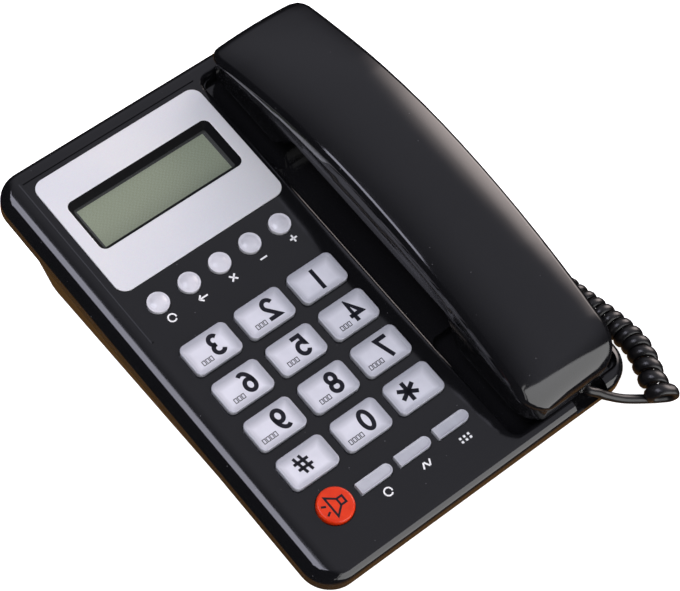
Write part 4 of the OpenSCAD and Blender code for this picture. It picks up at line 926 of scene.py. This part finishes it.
# %% Floor
SWEEP_REACH = 40
floor_material, floor_tree, floor_shader, floor_place = start_material(
    "white_sweep", Roughness=0.9, Emission_Strength=0.9)
paper = add(floor_tree, "TexNoise", {"Vector": floor_place, "Scale": per(120), "Detail": 2.0})
paper_tone = add(floor_tree, "ValToRGB", {"Fac": paper.outputs["Fac"]})
paper_tone.color_ramp.elements[0].color = linear("#f4f4f4")
paper_tone.color_ramp.elements[1].color = linear("#f8f8f8")
floor_tree.links.new(paper_tone.outputs["Color"], floor_shader.inputs["Base Color"])
floor_shader.inputs["Emission Color"].default_value = linear("#ffffff")
floor_mesh = bpy.data.meshes.new("sweep")
floor_bm = bmesh.new()
bmesh.ops.create_grid(floor_bm, x_segments=1, y_segments=1, size=SWEEP_REACH)
floor_bm.to_mesh(floor_mesh)
floor_bm.free()
floor_mesh.materials.append(floor_material)
floor = bpy.data.objects.new("sweep", floor_mesh)
floor.visible_glossy = False
bpy.context.collection.objects.link(floor)
print("floor reaches", SWEEP_REACH, "m each way")

# %% Lights
def softbox(name, direction, distance, width, height, power, colour, across=None):
    """A soft box that looks at the telephone from a direction, its width lying across."""
    light = bpy.data.lights.new(name, "AREA")
    light.shape = "RECTANGLE"
    light.size, light.size_y = width, height
    light.energy = power
    light.color = linear(colour)[:3]
    holder = bpy.data.objects.new(name, light)
    away = Vector(direction).normalized()
    side = (Vector(across) if across else UP.cross(away)).normalized()
    top = away.cross(side).normalized()
    turn = Matrix((top.cross(away), top, away)).transposed()
    holder.location = LOOK_AT + distance * away
    holder.rotation_euler = turn.to_euler()
    bpy.context.collection.objects.link(holder)
    return holder


softbox(
    "left_window", (-0.27, 0.15, 0.95), distance=1.4, width=0.7, height=0.5, power=6.5,
    colour="#ececff", across=(0, 1, 0))
softbox(
    "wide_window", (0.195, -0.978, 0.075), distance=1.5, width=1.63, height=1.4, power=20,
    colour="#ffffff", across=(0.803, 0.16, -0.574))
softbox(
    "narrow_window", (-0.268, -0.872, 0.41), distance=1.5, width=0.09, height=1.4, power=1.0,
    colour="#ffffff", across=(0.783, -0.241, -0.574))
key_light = softbox(
    "key_light", (-0.45, 0.35, 0.82), distance=1.5, width=0.6, height=0.6, power=7, colour="#ffffff")
fill_light = softbox(
    "fill_light", (-0.45, -0.65, 0.6), distance=1.5, width=1.4, height=1.4, power=7.5, colour="#ffffff")
for filtered in (key_light, fill_light):
    filtered.visible_glossy = False
print("lights:", len(bpy.data.lights))

# %% [markdown]
# Around the lights lies a dim room. Below the horizon it has the warm brown of a table, which the black
# sides mirror, and up on the right it has a grey ceiling. Towards the right it also has one soft warm
# glow, from a lamp behind paper, which lies along the handset's right edge. Each is a smooth step on
# the direction that is looked in.

# %% Room and glow
GLOW_WAY = Vector((0.9, 0.14, 0.42)).normalized()
GLOW_COLOUR = (6.6, 5.8, 5.6, 1)
GLOW_EDGE = 0.86
world = bpy.data.worlds.new("studio")
world.use_nodes = True
room_tree = world.node_tree
way = add(room_tree, "TexCoord").outputs["Generated"]
parts = add(room_tree, "SeparateXYZ", {"Vector": way}).outputs
table = add(room_tree, "MapRange", {
    "Value": parts["Z"], "From Min": -0.55, "From Max": -0.8}, interpolation_type="SMOOTHSTEP")
ceiling = add(room_tree, "MapRange", {
    "Value": parts["Z"], "From Min": 0.1, "From Max": 0.65}, interpolation_type="SMOOTHSTEP")
rightward = add(room_tree, "MapRange", {
    "Value": parts["X"], "From Min": -0.25, "From Max": 0.4}, interpolation_type="SMOOTHSTEP")
upper_right = add(room_tree, "Math", {
    0: ceiling.outputs["Result"], 1: rightward.outputs["Result"]}, operation="MULTIPLY")
dark = add(room_tree, "Mix", {
    "Factor": table.outputs["Result"], "A": linear("#101012"), "B": linear("#7d5a30")}, data_type="RGBA")
room = add(room_tree, "Mix", {
    "Factor": upper_right.outputs["Value"], "A": dark.outputs["Result"], "B": linear("#b4b4bf")},
    data_type="RGBA")
towards = add(room_tree, "VectorMath", {0: way, 1: GLOW_WAY}, operation="DOT_PRODUCT")
glow = add(room_tree, "MapRange", {
    "Value": towards.outputs["Value"], "From Min": GLOW_EDGE, "From Max": 1.0},
    interpolation_type="SMOOTHSTEP")
core = add(room_tree, "Math", {0: glow.outputs["Result"], 1: 2.0}, operation="POWER")
lit = add(room_tree, "Mix", {
    "Factor": core.outputs["Value"], "A": room.outputs["Result"], "B": GLOW_COLOUR},
    data_type="RGBA", clamp_result=False)
room_tree.links.new(lit.outputs["Result"], room_tree.nodes["Background"].inputs["Color"])
bpy.context.scene.world = world
bpy.context.scene.view_settings.view_transform = "Standard"
print("room:", world.name)
